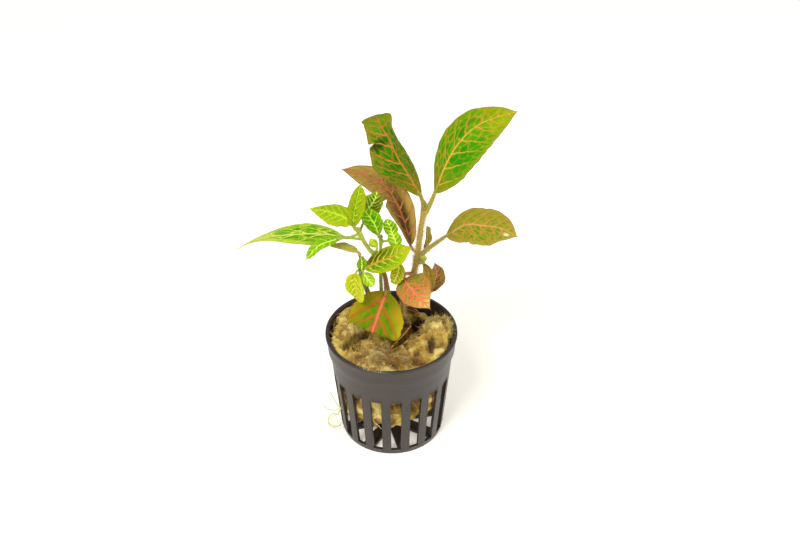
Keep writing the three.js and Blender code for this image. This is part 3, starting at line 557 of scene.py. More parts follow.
def grid_faces(rows, columns, ring=False, first=0):
    """Quads between rows of corners, each row closed into a ring or open"""
    faces = []
    for row in range(rows - 1):
        for column in range(columns if ring else columns - 1):
            following = (column + 1) % columns
            a = first + row * columns
            faces.append((a + column, a + following, a + columns + following, a + columns + column))
    return faces


def capped_faces(rows, sides):
    """Quads between rings of corners, and a cap at each end"""
    caps = [tuple(range(sides))[::-1], tuple(range((rows - 1) * sides, rows * sides))]
    return grid_faces(rows, sides, ring=True) + caps


def tube(shape, places, along, radii, sides, **marks):
    """A closed round tube along a line of places"""
    normals = carried(along, (0.36, 0.9, 0.24))
    across = np.cross(along, normals)
    turns = np.linspace(0, 2 * math.pi, sides, endpoint=False)[None, :, None]
    spread = normals[:, None] * np.cos(turns) + across[:, None] * np.sin(turns)
    corners = places[:, None] + spread * np.asarray(radii)[:, None, None]
    marks = {key: np.repeat(value, sides) for key, value in marks.items()}
    shape.add(corners, capped_faces(len(places), sides), **marks)


def hair_roots(line, along, radii, spots, chance):
    """Places all round a tube at the given stations of its line, and the directions out of it there"""
    around = sideways(along[spots], chance)
    return line[spots] + around * radii[spots][:, None], around


def hairs(shape, roots, directions, lengths, radius, chance, **marks):
    """Thin three-sided hairs, each with one bend and a pointed end"""
    side = sideways(directions, chance)
    other = np.cross(directions, side)
    sway = chance.normal(size=roots.shape) * 0.22
    middle = roots + directions * (0.55 * lengths)[:, None]
    tip = middle + unit(directions + sway) * (0.45 * lengths)[:, None]
    rings = []
    for place, size in ((roots, radius), (middle, 0.7 * radius)):
        for turn in HAIR_TURNS:
            rings.append(place + size * (side * math.cos(turn) + other * math.sin(turn)))
    corners = np.stack([*rings, tip], axis=1)
    pattern = [(2, 1, 0), (0, 1, 4, 3), (1, 2, 5, 4), (2, 0, 3, 5), (3, 4, 6), (4, 5, 6), (5, 3, 6)]
    faces = [tuple(7 * k + i for i in face) for k in range(len(roots)) for face in pattern]
    shape.add(corners, faces, hair=1.0, **{key: np.repeat(value, 7) for key, value in marks.items()})


class Finish:
    """A node material with short words for the nodes that the finishes use"""

    def __init__(self, name):
        self.material = bpy.data.materials.new(name)
        self.material.use_nodes = True
        self.nodes = self.material.node_tree.nodes
        self.links = self.material.node_tree.links
        self.shader = self.nodes["Principled BSDF"]

    def feed(self, socket, value):
        """Gives a socket another node's result, the colour of a six-digit code, or a plain value"""
        if isinstance(value, bpy.types.NodeSocket):
            self.links.new(value, socket)
        else:
            socket.default_value = colour(value) if isinstance(value, str) else value

    def node(self, kind, values, **settings):
        node = self.nodes.new(kind)
        for key, value in settings.items():
            setattr(node, key, value)
        for socket, value in values.items():
            self.feed(node.inputs[socket], value)
        return node

    def mark(self, key):
        return self.node("ShaderNodeAttribute", {}, attribute_name=key).outputs["Fac"]

    def noise(self, size, detail=3, roughness=0.55):
        """Noise whose lumps are about size millimetres across"""
        place = self.node("ShaderNodeTexCoord", {}).outputs["Object"]
        values = {"Vector": place, "Scale": 1 / (size * MM), "Detail": detail, "Roughness": roughness}
        return self.node("ShaderNodeTexNoise", values).outputs["Fac"]

    def spread(self, value, low, high, to_low=0.0, to_high=1.0):
        """The value eased from one range to another"""
        values = {"Value": value, "From Min": low, "From Max": high, "To Min": to_low, "To Max": to_high}
        return self.node("ShaderNodeMapRange", values, interpolation_type="SMOOTHSTEP").outputs["Result"]

    def plus(self, a, b):
        return self.node("ShaderNodeMath", {0: a, 1: b}, operation="ADD").outputs["Value"]

    def times(self, a, b):
        return self.node("ShaderNodeMath", {0: a, 1: b}, operation="MULTIPLY").outputs["Value"]

    def mix(self, share, a, b):
        """Colour a where the share is 0 and colour b where it is 1"""
        node = self.node("ShaderNodeMix", {}, data_type="RGBA")
        for socket, value in ((0, share), (6, a), (7, b)):
            self.feed(node.inputs[socket], value)
        return node.outputs[2]

    def fade(self, value, low, high, a, b, to_low=0.0, to_high=1.0):
        """A colour that turns from a into b as the value goes from low to high"""
        return self.mix(self.spread(value, low, high, to_low, to_high), a, b)

    def bump(self, height, distance, strength=1.0):
        values = {"Height": height, "Distance": distance * MM, "Strength": strength}
        self.feed(self.shader.inputs["Normal"], self.node("ShaderNodeBump", values).outputs["Normal"])

    def set(self, **values):
        for key, value in values.items():
            self.feed(self.shader.inputs[key.replace("_", " ")], value)
        return self.material

    def glowing(self, weight, radius, **values):
        """The same for something that light enters"""
        return self.set(Subsurface_Weight=weight, Subsurface_Scale=SCATTER_DEPTH, Subsurface_Radius=radius,
                        **values)


def leaf_finish(name, leaf):
    """Green cells between veins with a blurred border, an outer band, and a paler underside"""
    finish = Finish(name)
    mark = finish.mark
    blotch = finish.noise(3.2, 3)
    ragged = finish.spread(finish.noise(0.6, 2), 0.3, 0.7, -0.1, 0.1)
    blur, show, rim = leaf["blur"], leaf["net"], leaf["rim"]
    cell = finish.fade(mark("cell"), 0.1, 0.9, leaf["cell"], leaf["deep"])
    cell = finish.fade(blotch, 0.5, 0.8, cell, rim, 0, leaf["mottle"])
    net = finish.plus(mark("net"), ragged)
    ground = finish.fade(net, 0.04, 0.2 * leaf["cells"], cell, rim, 0.8 * min(show, 1), 0)
    thread = leaf["vein"]
    # Tints are patches of colour; the first of the top left leaf's is painted shade under its crease
    tints = [(mark(f"tint_{number}"), code) for number, (*_, code) in enumerate(leaf["tints"])]
    for tint, code in tints:
        ground = finish.mix(tint, ground, code)
        thread = finish.mix(finish.times(tint, 0.5), thread, code)
    fine = finish.fade(net, 0, 0.16, ground, thread, 0.7 * show, 0)
    margin = finish.plus(mark("margin"), finish.spread(blotch, 0.2, 0.8, -0.7, 0.7))
    edged = finish.fade(margin, 0.2, 2.2, fine, leaf["edge"], 0.85, 0)
    for tint, code in tints:
        edged = finish.mix(finish.times(tint, 0.65), edged, code)
    outline = finish.fade(mark("margin"), 0.1, 0.5, edged, leaf["outline"], 0.5, 0)
    vein = finish.plus(mark("vein"), ragged)
    halo = finish.fade(vein, 0, 0.25 + 2 * blur, outline, rim, 0.7, 0)
    side_vein = finish.fade(mark("rib"), 0, 0.4, leaf["rib"], leaf["vein"])
    veined = finish.fade(vein, -blur, blur, halo, side_vein, 0.97, 0)
    below = finish.mix(0.6, veined, leaf["under"])
    faced = finish.mix(mark("under"), veined, below)
    stalk = finish.fade(blotch, 0.3, 0.7, leaf["stalk"], rim)
    ended = finish.mix(mark("stalk"), faced, stalk)
    base = finish.mix(mark("hair"), ended, "ecdcb8")
    rough = finish.spread(blotch, 0.3, 0.7, 0.42, 0.56)
    finish.bump(finish.noise(0.25, 2), 0.05, 0.4)
    return finish.glowing(0.1, (0.8, 1.0, 0.2), Base_Color=base, Roughness=rough, Specular_IOR_Level=0.04)


def blade_half_width(leaf, u):
    """Half the blade's width at shares u of its length"""
    fullest = leaf["fullest"]
    rise = (u / fullest) ** (fullest * leaf["taper"])
    fall = ((1 - u) / (1 - fullest)) ** ((1 - fullest) * leaf["taper"])
    point = 1 - np.exp(-(1 - u) / leaf["tip"])
    least = np.where(u < 0.5, FOOT_HALF_WIDTH, TIP_HALF_WIDTH)
    square = np.where(u > 0.5, leaf["square"] * (1 - np.exp(-(1 - u) / SQUARE_ROUNDING)), 0)
    return np.maximum(leaf["width"] / 2 * np.maximum(rise * fall * point, square), least)


def fine_cells(leaf, across, forward, spacing, chance):
    """The distance to the edge of a fine cell, in mm, and a number that each cell has alone"""
    pitch = leaf["cells"]
    seeds = []
    for band in range(-3, leaf["pairs"] + 5):
        for row in (0.25, 0.75):
            for step in range(int(leaf["width"] * (0.5 + 0.4 * leaf["lean"]) / pitch) + 2):
                jitter = chance.uniform(-0.38, 0.38, 2) * (0.5 * spacing, pitch)
                place = step + 0.3 + 0.5 * (row > 0.5)
                seeds.append(((band + row) * spacing + jitter[0], place * pitch + jitter[1]))
    seeds = np.array(seeds)
    values = chance.uniform(size=len(seeds))
    apart = np.hypot(forward[:, None] - seeds[:, 0], across[:, None] - seeds[:, 1])
    nearest = np.argpartition(apart, 1, axis=1)[:, :2]
    two = np.take_along_axis(apart, nearest, axis=1)
    first = nearest[np.arange(len(two)), np.argmin(two, axis=1)]
    return np.abs(two[:, 1] - two[:, 0]) / 2, values[first]


def vein_marks(leaf, u, v, half, length, chance):
    """Distances in mm from the large veins, the midrib alone and the fine veins, and each cell's number"""
    reach = np.abs(v) * half
    step = length / (leaf["pairs"] + 1.3)
    slope = math.hypot(1, leaf["lean"])
    scale = leaf["vein_width"]
    rib = reach - scale * (0.4 - 0.28 * u)
    vein = rib.copy()
    net = np.zeros_like(u)
    cell = np.zeros_like(u)
    for side, shift in ((-1, 0.0), (1, 0.38)):
        on_side = (v <= 0) if side < 0 else (v > 0)
        wobble = 0.2 * np.sin(1.7 * reach + 5 * shift + 0.6 * u * length) * np.minimum(1, reach)
        start = u * length - leaf["lean"] * reach - 0.35 * reach**2 / (leaf["width"] / 2) + wobble
        phase = start / step + shift
        uneven = chance.uniform(-0.12, 0.12, leaf["pairs"] + 2)
        number = np.clip(np.round(phase), 1, leaf["pairs"] + 1).astype(int)
        gap = np.abs(phase - number - uneven[number]) * step / slope
        thick = scale * np.maximum(0.27 - 0.2 * np.abs(v) ** 0.8, 0.03)
        vein = np.where(on_side, np.minimum(vein, gap - thick), vein)
        edge, value = fine_cells(leaf, reach * slope, phase * step / slope, step / slope, chance)
        net = np.where(on_side, edge, net)
        cell = np.where(on_side, value, cell)
    return dict(vein=vein, rib=rib, net=net - 0.06 * scale, cell=cell)


def leaf_frame(leaf, rows):
    """The midrib's places, and the directions along, across and out of the blade at each"""
    places, along, length = curve_through(leaf["midrib"], rows)
    level = unit(TOWARDS_LIGHT - along[0] * TOWARDS_LIGHT.dot(along[0]))
    first = turned(level, along[0], math.radians(leaf["roll"]))
    share = np.linspace(0, 1, rows + 1)
    twist = np.radians(leaf["twist"] * share + leaf["tip_turn"] * bell(1 - share, TIP_REACH))
    normal = turned(carried(along, first), along, twist)
    return places, along, normal, np.cross(along, normal), length


def blade_surface(leaf, frame, u, v, station, half):
    """The blade's middle surface: folded at the midrib, curled towards the margins and waved"""
    places, _, normal, across, _ = frame
    soft = 0.06
    reach = np.sqrt(v**2 + soft**2) - soft
    side = v / np.sqrt(v**2 + soft**2)
    fold = leaf["fold"][0] + (leaf["fold"][1] - leaf["fold"][0]) * u
    fold = np.radians(fold + leaf["tip_open"] * bell(1 - u, TIP_REACH))
    curl = math.radians(leaf["curl"]) or 1e-6
    angle = fold + curl * np.abs(v)
    out = np.sign(v) * half * (np.sin(angle) - np.sin(fold)) / curl
    swing = np.sin(2 * math.pi * leaf["waves"] * u + 1.3 * side)
    rise = half * (np.cos(fold) - np.cos(fold + curl * reach)) / curl
    rise += leaf["wave"] * half / (leaf["width"] / 2) * reach**2 * swing
    middle = places[station] + across[station] * out[:, None] + normal[station] * rise[:, None]
    outward = normal[station] * np.cos(angle)[:, None] - across[station] * (side * np.sin(angle))[:, None]
    return middle, unit(outward)


def leaf_piece(name, leaf, number, nodes):
    """A quilted blade with its stalk, as fine as the veins need"""
    chance = np.random.default_rng(LEAF_SEED + number)
    spacing = MESH_LARGE if leaf["width"] > LARGE_LEAF else MESH_SMALL
    _, _, length = curve_through(leaf["midrib"], 10)
    rows = int(min(length / spacing, MOST_ROWS))
    columns = 2 * int(leaf["width"] / spacing / 2)
    frame = leaf_frame(leaf, rows)
    u = np.repeat(np.linspace(0, 1, rows + 1), columns + 1)
    v = np.tile(np.linspace(-1, 1, columns + 1), rows + 1)
    station = np.repeat(np.arange(rows + 1), columns + 1)
    ragged = 0.02 * np.sin(23 * u + 3 * np.sign(v) + number) + 0.012 * np.sin(57 * u + np.sign(v))
    half = blade_half_width(leaf, u) * (1 + ragged * np.abs(v) ** 3) * (1 + leaf["lopsided"] * np.sign(v))
    for at, side, depth, wide in leaf["notches"]:
        half = half * (1 - depth * bell(u - at, wide) * np.clip(side * v, 0, 1))
    middle, outward = blade_surface(leaf, frame, u, v, station, half)

    marks = vein_marks(leaf, u, v, half, length, chance)
    margin = np.minimum((1 - np.abs(v)) * half, (1 - u) * length)
    off_vein, off_net = np.maximum(marks["vein"], 0), np.maximum(marks["net"], 0)
    calm = np.clip(margin / FLAT_MARGIN, 0, 1) * np.clip(u / FLAT_FOOT, 0, 1)
    pillow = 1 - bell(off_vein, PILLOW_REACH)
    small = 1 - bell(off_net, CELL_REACH)
    height = calm * leaf["quilt"] * (pillow - 0.6 + 0.35 * small * pillow)
    thick = BLADE_THICKNESS * (0.35 + 0.65 * np.sqrt(np.clip(margin / THIN_MARGIN, 0, 1)))
    spine = RIB_DEPTH * bell(v * half, RIB_REACH) * (1 - 0.7 * u)
    ribs = VEIN_DEPTH * bell(off_vein, VEIN_REACH) * calm
    upper = middle + outward * (thick / 2 + height)[:, None]
    lower = middle - outward * (thick / 2 - height + spine + ribs)[:, None]

    marks["margin"] = margin
    for index, (at_u, at_v, wide_u, wide_v, strength, _) in enumerate(leaf["tints"]):
        spot = np.exp(-(((u - at_u) / wide_u) ** 2) - ((v - at_v) / wide_v) ** 2)
        marks[f"tint_{index}"] = strength * spot
    shape = Shape()
    add_blade(shape, upper, lower, rows, columns, marks)
    stalk(shape, leaf, frame, chance)
    shape.piece(name + "_skin", nodes, leaf["slot"], leaf_finish(name, leaf))


def add_blade(shape, upper, lower, rows, columns, marks):
    """The upper and the lower face, joined round the margin"""
    stride = columns + 1
    count = len(upper)
    top = [face[::-1] for face in grid_faces(rows + 1, stride)]
    bottom = grid_faces(rows + 1, stride, first=count)
    border = [*range(columns), *range(columns, rows * stride + columns, stride)]
    border += [*range(rows * stride + columns, rows * stride, -1), *range(rows * stride, 0, -stride)]
    rim = [(a, b, count + b, count + a) for a, b in zip(border, border[1:] + border[:1])]
    below = np.concatenate([np.zeros(count), np.ones(count)])
    both = {key: np.concatenate([value, value]) for key, value in marks.items()}
    shape.add(np.vstack([upper, lower]), top + bottom + rim, under=below, **both)


def stalk(shape, leaf, frame, chance):
    """The petiole, from just inside the stem to under the blade's foot, with its hairs"""
    places, along, *_ = frame
    foot = np.array(leaf["foot"], float)
    join = places[0]
    bend = join - along[0] * 0.3 * np.linalg.norm(join - foot)
    bend = bend + (foot - bend) * 0.35
    end = places[int(0.1 * (len(places) - 1))]
    line, direction, length = curve_through([foot, bend, join, end], STALK_STEPS)
    thick = leaf["stalk_size"] * np.clip(leaf["width"] * 0.045, *STALK_RADII)
    radius = thick * np.linspace(*STALK_TAPER, len(line))
    tube(shape, line, direction, radius, STALK_SIDES, stalk=np.ones(len(line)))
    count = int(STALK_HAIRS * length * radius[0])
    at = chance.uniform(0.05, 0.85, count)
    spot = (at * STALK_STEPS).astype(int)
    roots, around = hair_roots(line, direction, 0.9 * radius, spot, chance)
    lean = unit(around + 0.25 * direction[spot] + 0.2 * chance.normal(size=(count, 3)))
    hairs(shape, roots, lean, chance.uniform(0.4, 1.0, count), STALK_HAIR, chance)


def stem_finish(name, stem):
    finish = Finish(name)
    grown = finish.mark("grown")
    ripened = finish.fade(grown, *stem["turn"], stem["low"], stem["high"])
    mottled = finish.fade(finish.noise(0.9, 4), 0.35, 0.7, ripened, "8a6a24", 0, 0.5)
    base = finish.mix(finish.mark("hair"), mottled, stem["hair"])
    # Painted shade: near-black towards the foot, down in and just above the wool, where the wool shades the
    # stem
    base = finish.fade(grown, 0.12, 0.34, base, "3a2008", 0.75, 0)
    base = finish.mix(finish.mark("bud"), base, "b0b440")
    finish.bump(finish.noise(0.3, 3), 0.08, 0.6)
    return finish.glowing(0.12, (1.0, 0.7, 0.4), Base_Color=base, Roughness=0.6, Sheen_Weight=0.2)


def bud(shape, place, direction, length, width, chance):
    """Two small scales that stand against each other, with hairs"""
    direction = unit(np.array(direction, float))
    share = np.linspace(0, 1, BUD_STEPS + 1)
    side = unit(np.cross(direction, (0.2, -1, 0.3)))
    for sign in (-1, 1):
        bow = sign * side * 0.35 * width * np.sin(math.pi * share)[:, None]
        line = np.array(place) + direction * (length * share)[:, None] + bow
        along = unit(np.gradient(line, axis=0))
        radii = 0.5 * width * np.sin(math.pi * (0.12 + 0.86 * share)) ** 0.8
        tube(shape, line, along, radii, BUD_SIDES, bud=np.ones(len(line)))
    spot = chance.integers(1, BUD_STEPS, BUD_HAIRS)
    roots, around = hair_roots(line, np.broadcast_to(direction, line.shape), 0.8 * radii, spot, chance)
    lengths = chance.uniform(0.4, 1.0, BUD_HAIRS)
    hairs(shape, roots, unit(around + 0.5 * direction), lengths, BUD_HAIR, chance)


def stem_piece(name, stem, number):
    """A stem swollen at its leaf nodes, with hairs above the wool, and its buds"""
    chance = np.random.default_rng(STEM_SEED + number)
    line, along, length = curve_through(stem["points"], STEM_STEPS)
    share = np.linspace(0, 1, STEM_STEPS + 1)
    low, high = stem["radius"]
    radius = low + (high - low) * share
    for at, swell in stem["swellings"]:
        radius = radius + swell * bell(share - at, SWELLING_REACH)
    radius = radius * (1 + 0.05 * np.sin(40 * share + number) * np.sin(17 * share))
    dome = np.sqrt(np.clip((1 - share) * length / radius[-1], 0, 1))
    shape = Shape()
    tube(shape, line, along, radius * np.maximum(dome, 0.05), STEM_SIDES, grown=share)
    above = np.searchsorted(line[:, 2], WOOL_TOP - 1) / STEM_STEPS
    at = chance.uniform(above, 0.995, stem["hairs"])
    spot = (at * STEM_STEPS).astype(int)
    roots, around = hair_roots(line, along, 0.92 * radius, spot, chance)
    roots = roots + along[spot] * chance.uniform(0, 0.5, len(at))[:, None]
    lean = unit(around + 0.15 * along[spot] + 0.25 * chance.normal(size=(len(at), 3)))
    lengths = stem["hair_length"] * chance.uniform(0.35, 1, len(at)) ** 1.2
    hairs(shape, roots, lean, lengths, STEM_HAIR, chance, grown=at)
    for place, direction, long, wide in BUDS[name]:
        bud(shape, place, direction, long, wide, chance)
    shape.piece(name + "_skin", [name], stem["slot"], stem_finish(name, stem))


def root_finish():
    finish = Finish("root_pale")
    base = finish.mix(finish.noise(1.5, 3), "efe8b4", "cfc07c")
    finish.bump(finish.noise(0.25, 2), 0.05, 0.4)
    return finish.glowing(0.3, (1.0, 0.9, 0.6), Base_Color=base, Roughness=0.5)


def root_piece():
    """The ring with its lead out of the wool, the branch, and rootlets in and beside the slots"""
    chance = np.random.default_rng(ROOT_SEED)
    cx, cy, cz = ROOT_LOOP_CENTRE
    loop = []
    for turn in ROOT_LOOP_TURNS:
        out = ROOT_LOOP_RADIUS * math.cos(math.radians(turn))
        up = ROOT_LOOP_RADIUS * math.sin(math.radians(turn))
        loop.append((cx + out, cy + 0.59 * up, cz + 0.81 * up))
    shape = Shape()
    lines = [(ROOT_LEAD + loop, 110, 0.6), (ROOT_BRANCH, 50, 0.5)]
    lines += [(rootlet, 40, 0.45) for rootlet in ROOTLETS]
    for points, steps, share in lines:
        line, along, _ = curve_through(points, steps)
        end = np.sqrt(np.clip(np.linspace(1, 0, steps + 1) * 12, 0.04, 1))
        knobbly = 1 + 0.12 * np.sin(np.linspace(0, 31, steps + 1)) * chance.uniform(0.6, 1)
        tube(shape, line, along, share * ROOT_RADIUS * end * knobbly, ROOT_SIDES)
    shape.piece("root_loop_skin", ["root_loop"], "root_pale", root_finish())


def wall_radius(z):
    """The pot's radius outside at a level below the collar"""
    return WALL_RADIUS_LOW + (WALL_RADIUS_HIGH - WALL_RADIUS_LOW) * z / COLLAR_LEVEL


def ripple(x, y, z):
    """A smooth unevenness between -1 and 1, a few millimetres from crest to crest"""
    return np.sin(0.9 * x + 1.7 * y + 0.4 * z) * np.cos(1.3 * x - 0.6 * y + 1.1 * z)


def groove():
    """Even places along the groove"""
    xs = np.linspace(GROOVE_START[0], GROOVE_END[0], GROOVE_STEPS)
    ys = np.linspace(GROOVE_START[1], GROOVE_END[1], GROOVE_STEPS)
    return list(zip(xs, ys))


def wool_top(x, y):
    """The level of the wool's top"""
    level = WOOL_TOP + 0.5 * ripple(x, y, 0)
    hollows = [(*place, GROOVE_REACH, GROOVE_DEPTH) for place in groove()]
    for lump_x, lump_y, reach, height in WOOL_LUMPS + WOOL_HOLLOWS + hollows:
        level = level + height * np.exp(-((x - lump_x) ** 2 + (y - lump_y) ** 2) / reach**2)
    return level


def wool_bottom(x, y):
    """The level of the wool's underside"""
    return WOOL_BOTTOM + 1.2 * ripple(0.5 * x, 0.5 * y, 3) + 0.15 * x


def wool_reach(z):
    """How far from the axis the wool reaches, just inside the pot's wall"""
    share = np.clip((z - COLLAR_LEVEL - 2.5) / 4, 0, 1)
    low = wall_radius(np.minimum(z, COLLAR_LEVEL - 0.5))
    return low + (COLLAR_RADIUS_HIGH - low) * share - WALL_THICKNESS - WOOL_GAP


def wool_rings(sides):
    """Rings from the middle of the underside, up the side and over to the middle of the top"""
    turns = np.linspace(0, 2 * math.pi, sides, endpoint=False)
    x, y = np.cos(turns), np.sin(turns)
    low_reach, high_reach = wool_reach(WOOL_BOTTOM), wool_reach(POT_HEIGHT)
    rings = []
    for share in np.linspace(0.02, 0.94, WOOL_RINGS["below"]):
        reach = share * low_reach
        rings.append(np.stack([x * reach, y * reach, wool_bottom(x * reach, y * reach)], axis=1))
    for share in np.linspace(0.04, 0.95, WOOL_RINGS["beside"]):
        low = wool_bottom(x * low_reach, y * low_reach)
        high = wool_top(x * high_reach, y * high_reach)
        level = low + share * (high - low)
        dent = 0.8 * (1 + ripple(8 * x, 8 * y, 0.3 * level)) * min(1, 2.5 * (1 - share))
        reach = wool_reach(level) - dent
        rings.append(np.stack([x * reach, y * reach, level], axis=1))
    for share in np.linspace(0.96, 0.01, WOOL_RINGS["on_top"]):
        reach = share * high_reach
        rings.append(np.stack([x * reach, y * reach, wool_top(x * reach, y * reach)], axis=1))
    return np.array(rings)


def wool_relief(places, outward):
    """Felted lumps and crevices: how far each corner moves in or out, in mm"""
    relief = []
    for place, normal in zip(places, outward):
        spot = Vector(place)
        broad = noise.fractal(spot * 0.13, 1.0, 2.0, 2)
        folds = noise.ridged_multi_fractal(spot * 0.2, 1.0, 2.1, 3, 1.0, 2.0)
        crumbs = noise.fractal(spot * 0.9, 0.9, 2.0, 4)
        relief.append(1.9 * broad + 1.1 * (1.1 - folds) + 0.5 * crumbs)
    return np.array(relief)


def wool_finish():
    finish = Finish("wool_fibre")
    fine = finish.noise(0.9, 5, 0.7)
    hollow, brown = finish.mark("relief"), finish.mark("brown")
    straw = finish.fade(finish.noise(5, 3), 0.38, 0.62, "dcbc58", "aa8432")
    warm = finish.mix(finish.times(brown, 0.75), straw, "94601c")
    # Painted light and shade: paler on the tops of the fine bump and on the relief's crests, darker in the
    # relief's hollows and in the bump's pits
    light = finish.fade(fine, 0.45, 0.75, warm, "ecd27a", 0, 0.6)
    crest = finish.fade(hollow, 0.1, 1.3, light, "f8e690", 0, 0.85)
    dark = finish.fade(hollow, -1.6, 0, crest, "4c2e0e", 0.7, 0)
    deep = finish.fade(fine, 0.25, 0.42, dark, "5a3810", 0.5, 0)
    # Browner in the listed spots of the top
    browned = finish.mix(finish.times(brown, 0.52), deep, "523408")
    # Painted shade: near-black where the wool lies in shadow, in its hollows, along the groove and under
    # leaves
    base = finish.mix(finish.mark("damp"), browned, "0a0502")
    finish.bump(fine, 0.35, 0.9)
    return finish.set(Base_Color=base, Roughness=0.95, Sheen_Weight=0.15, Specular_IOR_Level=0.2)


def fibre_finish():
    finish = Finish("wool_strand")
    dry = finish.fade(finish.noise(2.5, 2), 0.4, 0.6, "f0dc8c", "ac8430")
    base = finish.mix(finish.times(finish.mark("brown"), 0.7), dry, "6a4810")
    return finish.set(Base_Color=base, Roughness=0.9, Sheen_Weight=0.2)


def painted_shade_at(places):
    """How far the wool is darkened by painted shade in its hollows, groove and under leaves, from none at 0
    """
    damp = np.zeros(len(places))
    uneven = 1 + 0.25 * ripple(1.3 * places[:, 0], 1.3 * places[:, 1], 0)
    for x, y, reach in PAINTED_SHADE_SPOTS + [(*place, GROOVE_SHADE) for place in groove()]:
        apart = uneven * beside(places, x, y) / reach
        damp = np.maximum(damp, np.exp(-(apart**4)) * (0.8 if reach < 2 else 1))
    return damp * (beside(places) < SHADE_REACH) * (places[:, 2] > SPOT_LEVEL)


def brown_at(places):
    """How brown the wool is, from straw at 0"""
    brown = np.zeros(len(places))
    for x, y, reach in BROWN_SPOTS:
        brown = np.maximum(brown, bell(beside(places, x, y), reach))
    return brown * (places[:, 2] > SPOT_LEVEL)


def wool_pieces():
    """The felted body, kept clear of the pot's wall, and its loose strands"""
    chance = np.random.default_rng(WOOL_SEED)
    rings = wool_rings(WOOL_SIDES)
    flat = rings.reshape(-1, 3)
    around = np.roll(rings, -1, axis=1) - np.roll(rings, 1, axis=1)
    upward = np.gradient(rings, axis=0)
    outward = unit(np.cross(around, upward)).reshape(-1, 3)
    relief = wool_relief(flat, outward)
    centred = relief - relief.mean()
    beside_wall = beside(flat) > wool_reach(flat[:, 2]) - WALL_BAND
    beside_wall &= flat[:, 2] < WALL_BAND_TOP
    moved = np.where(beside_wall, np.minimum(centred, WALL_BULGE) * 0.8, centred)
    corners = flat + outward * moved[:, None]
    body = Shape()
    faces = capped_faces(len(rings), WOOL_SIDES)
    body.add(corners, faces, relief=centred, damp=painted_shade_at(corners), brown=brown_at(corners))
    body.piece("wool_body", ["rock_wool"], "wool_fibre", wool_finish())
    fibres = Shape()
    fluff(fibres, corners, outward, chance)
    rim_tuft(fibres, chance)
    fibres.piece("wool_fibres", ["rock_wool"], "wool_fibre", fibre_finish())


def fluff(shape, corners, outward, chance):
    """Loose curled strands over the wool, thickest in the tufts, with none behind the pot's collar"""
    picks = [chance.integers(0, len(corners), STRANDS)]
    on_top = corners[:, 2] > TUFT_LEVEL
    for x, y, reach, count in TUFTS:
        near = beside(corners, x, y) < reach
        picks.append(chance.choice(np.flatnonzero(near & on_top), count))
    pick = np.concatenate(picks)
    level = corners[pick, 2]
    by_collar = (level > SLOT_HIGH - 2) & (level < POT_HEIGHT - 2)
    by_collar &= beside(corners[pick]) > wool_reach(level) - 3
    for k in pick[~by_collar & (painted_shade_at(corners[pick]) < 0.3)]:
        root = corners[k] - outward[k] * 0.15
        run = sideways(outward[k], chance)
        long = chance.uniform(STRAND_SHORTEST, STRAND_LONGEST)
        lift = chance.uniform(0.1, 0.5)
        curl = chance.normal(size=3) * 0.4
        points = [root]
        for step in (1, 2, 3):
            onward = run * step + curl * step**2 * 0.3 + outward[k] * lift * (step if step < 3 else 1.5)
            points.append(root + onward * long / 3)
        line, along, _ = curve_through(points, STRAND_STEPS)
        walled = (line[:, 2] > SLOT_HIGH - 1) & (line[:, 2] < POT_HEIGHT)
        most = np.where(walled, wool_reach(line[:, 2]) + 0.2, RIM_RADIUS)
        line[:, :2] *= np.minimum(1, most / beside(line))[:, None]
        if painted_shade_at(line[2:]).max() < 0.5:
            tube(shape, line, along, STRAND_RADII, STRAND_SIDES, brown=brown_at(line))


def rim_tuft(shape, chance):
    """Strands in front that lie over the rim and end just outside it"""
    for _ in range(RIM_TUFT_STRANDS):
        turn = math.radians(chance.normal(RIM_TUFT_TURN, RIM_TUFT_SPREAD))
        outward = np.array((math.cos(turn), math.sin(turn), 0))
        aside = np.array((-math.sin(turn), math.cos(turn), 0)) * chance.normal() * 0.9
        start = chance.uniform(*RIM_TUFT_START)
        long = chance.uniform(STRAND_SHORTEST, min(STRAND_LONGEST, RIM_TUFT_END - start))
        level = POT_HEIGHT + chance.uniform(0.15, 0.9)
        points = []
        for share in (0, 0.35, 0.7, 1):
            place = outward * (start + long * share) + aside * share
            place[2] = level + 0.4 * math.sin(math.pi * share)
            points.append(place)
        line, along, _ = curve_through(points, STRAND_STEPS)
        tube(shape, line, along, STRAND_RADII, STRAND_SIDES)


def pot_finish():
    finish = Finish("pot_plastic")
    cloud = finish.noise(9, 3)
    base = finish.fade(cloud, 0.3, 0.7, "2c2524", "37302e")
    dusty = finish.fade(finish.noise(0.5, 2), 0.62, 0.8, base, "5e5652", 0, 0.25)
    rough = finish.spread(cloud, 0.3, 0.7, 0.36, 0.46)
    finish.bump(finish.noise(0.7, 3), 0.04, 0.35)
    return finish.set(Base_Color=dusty, Roughness=rough, Specular_IOR_Level=0.48)


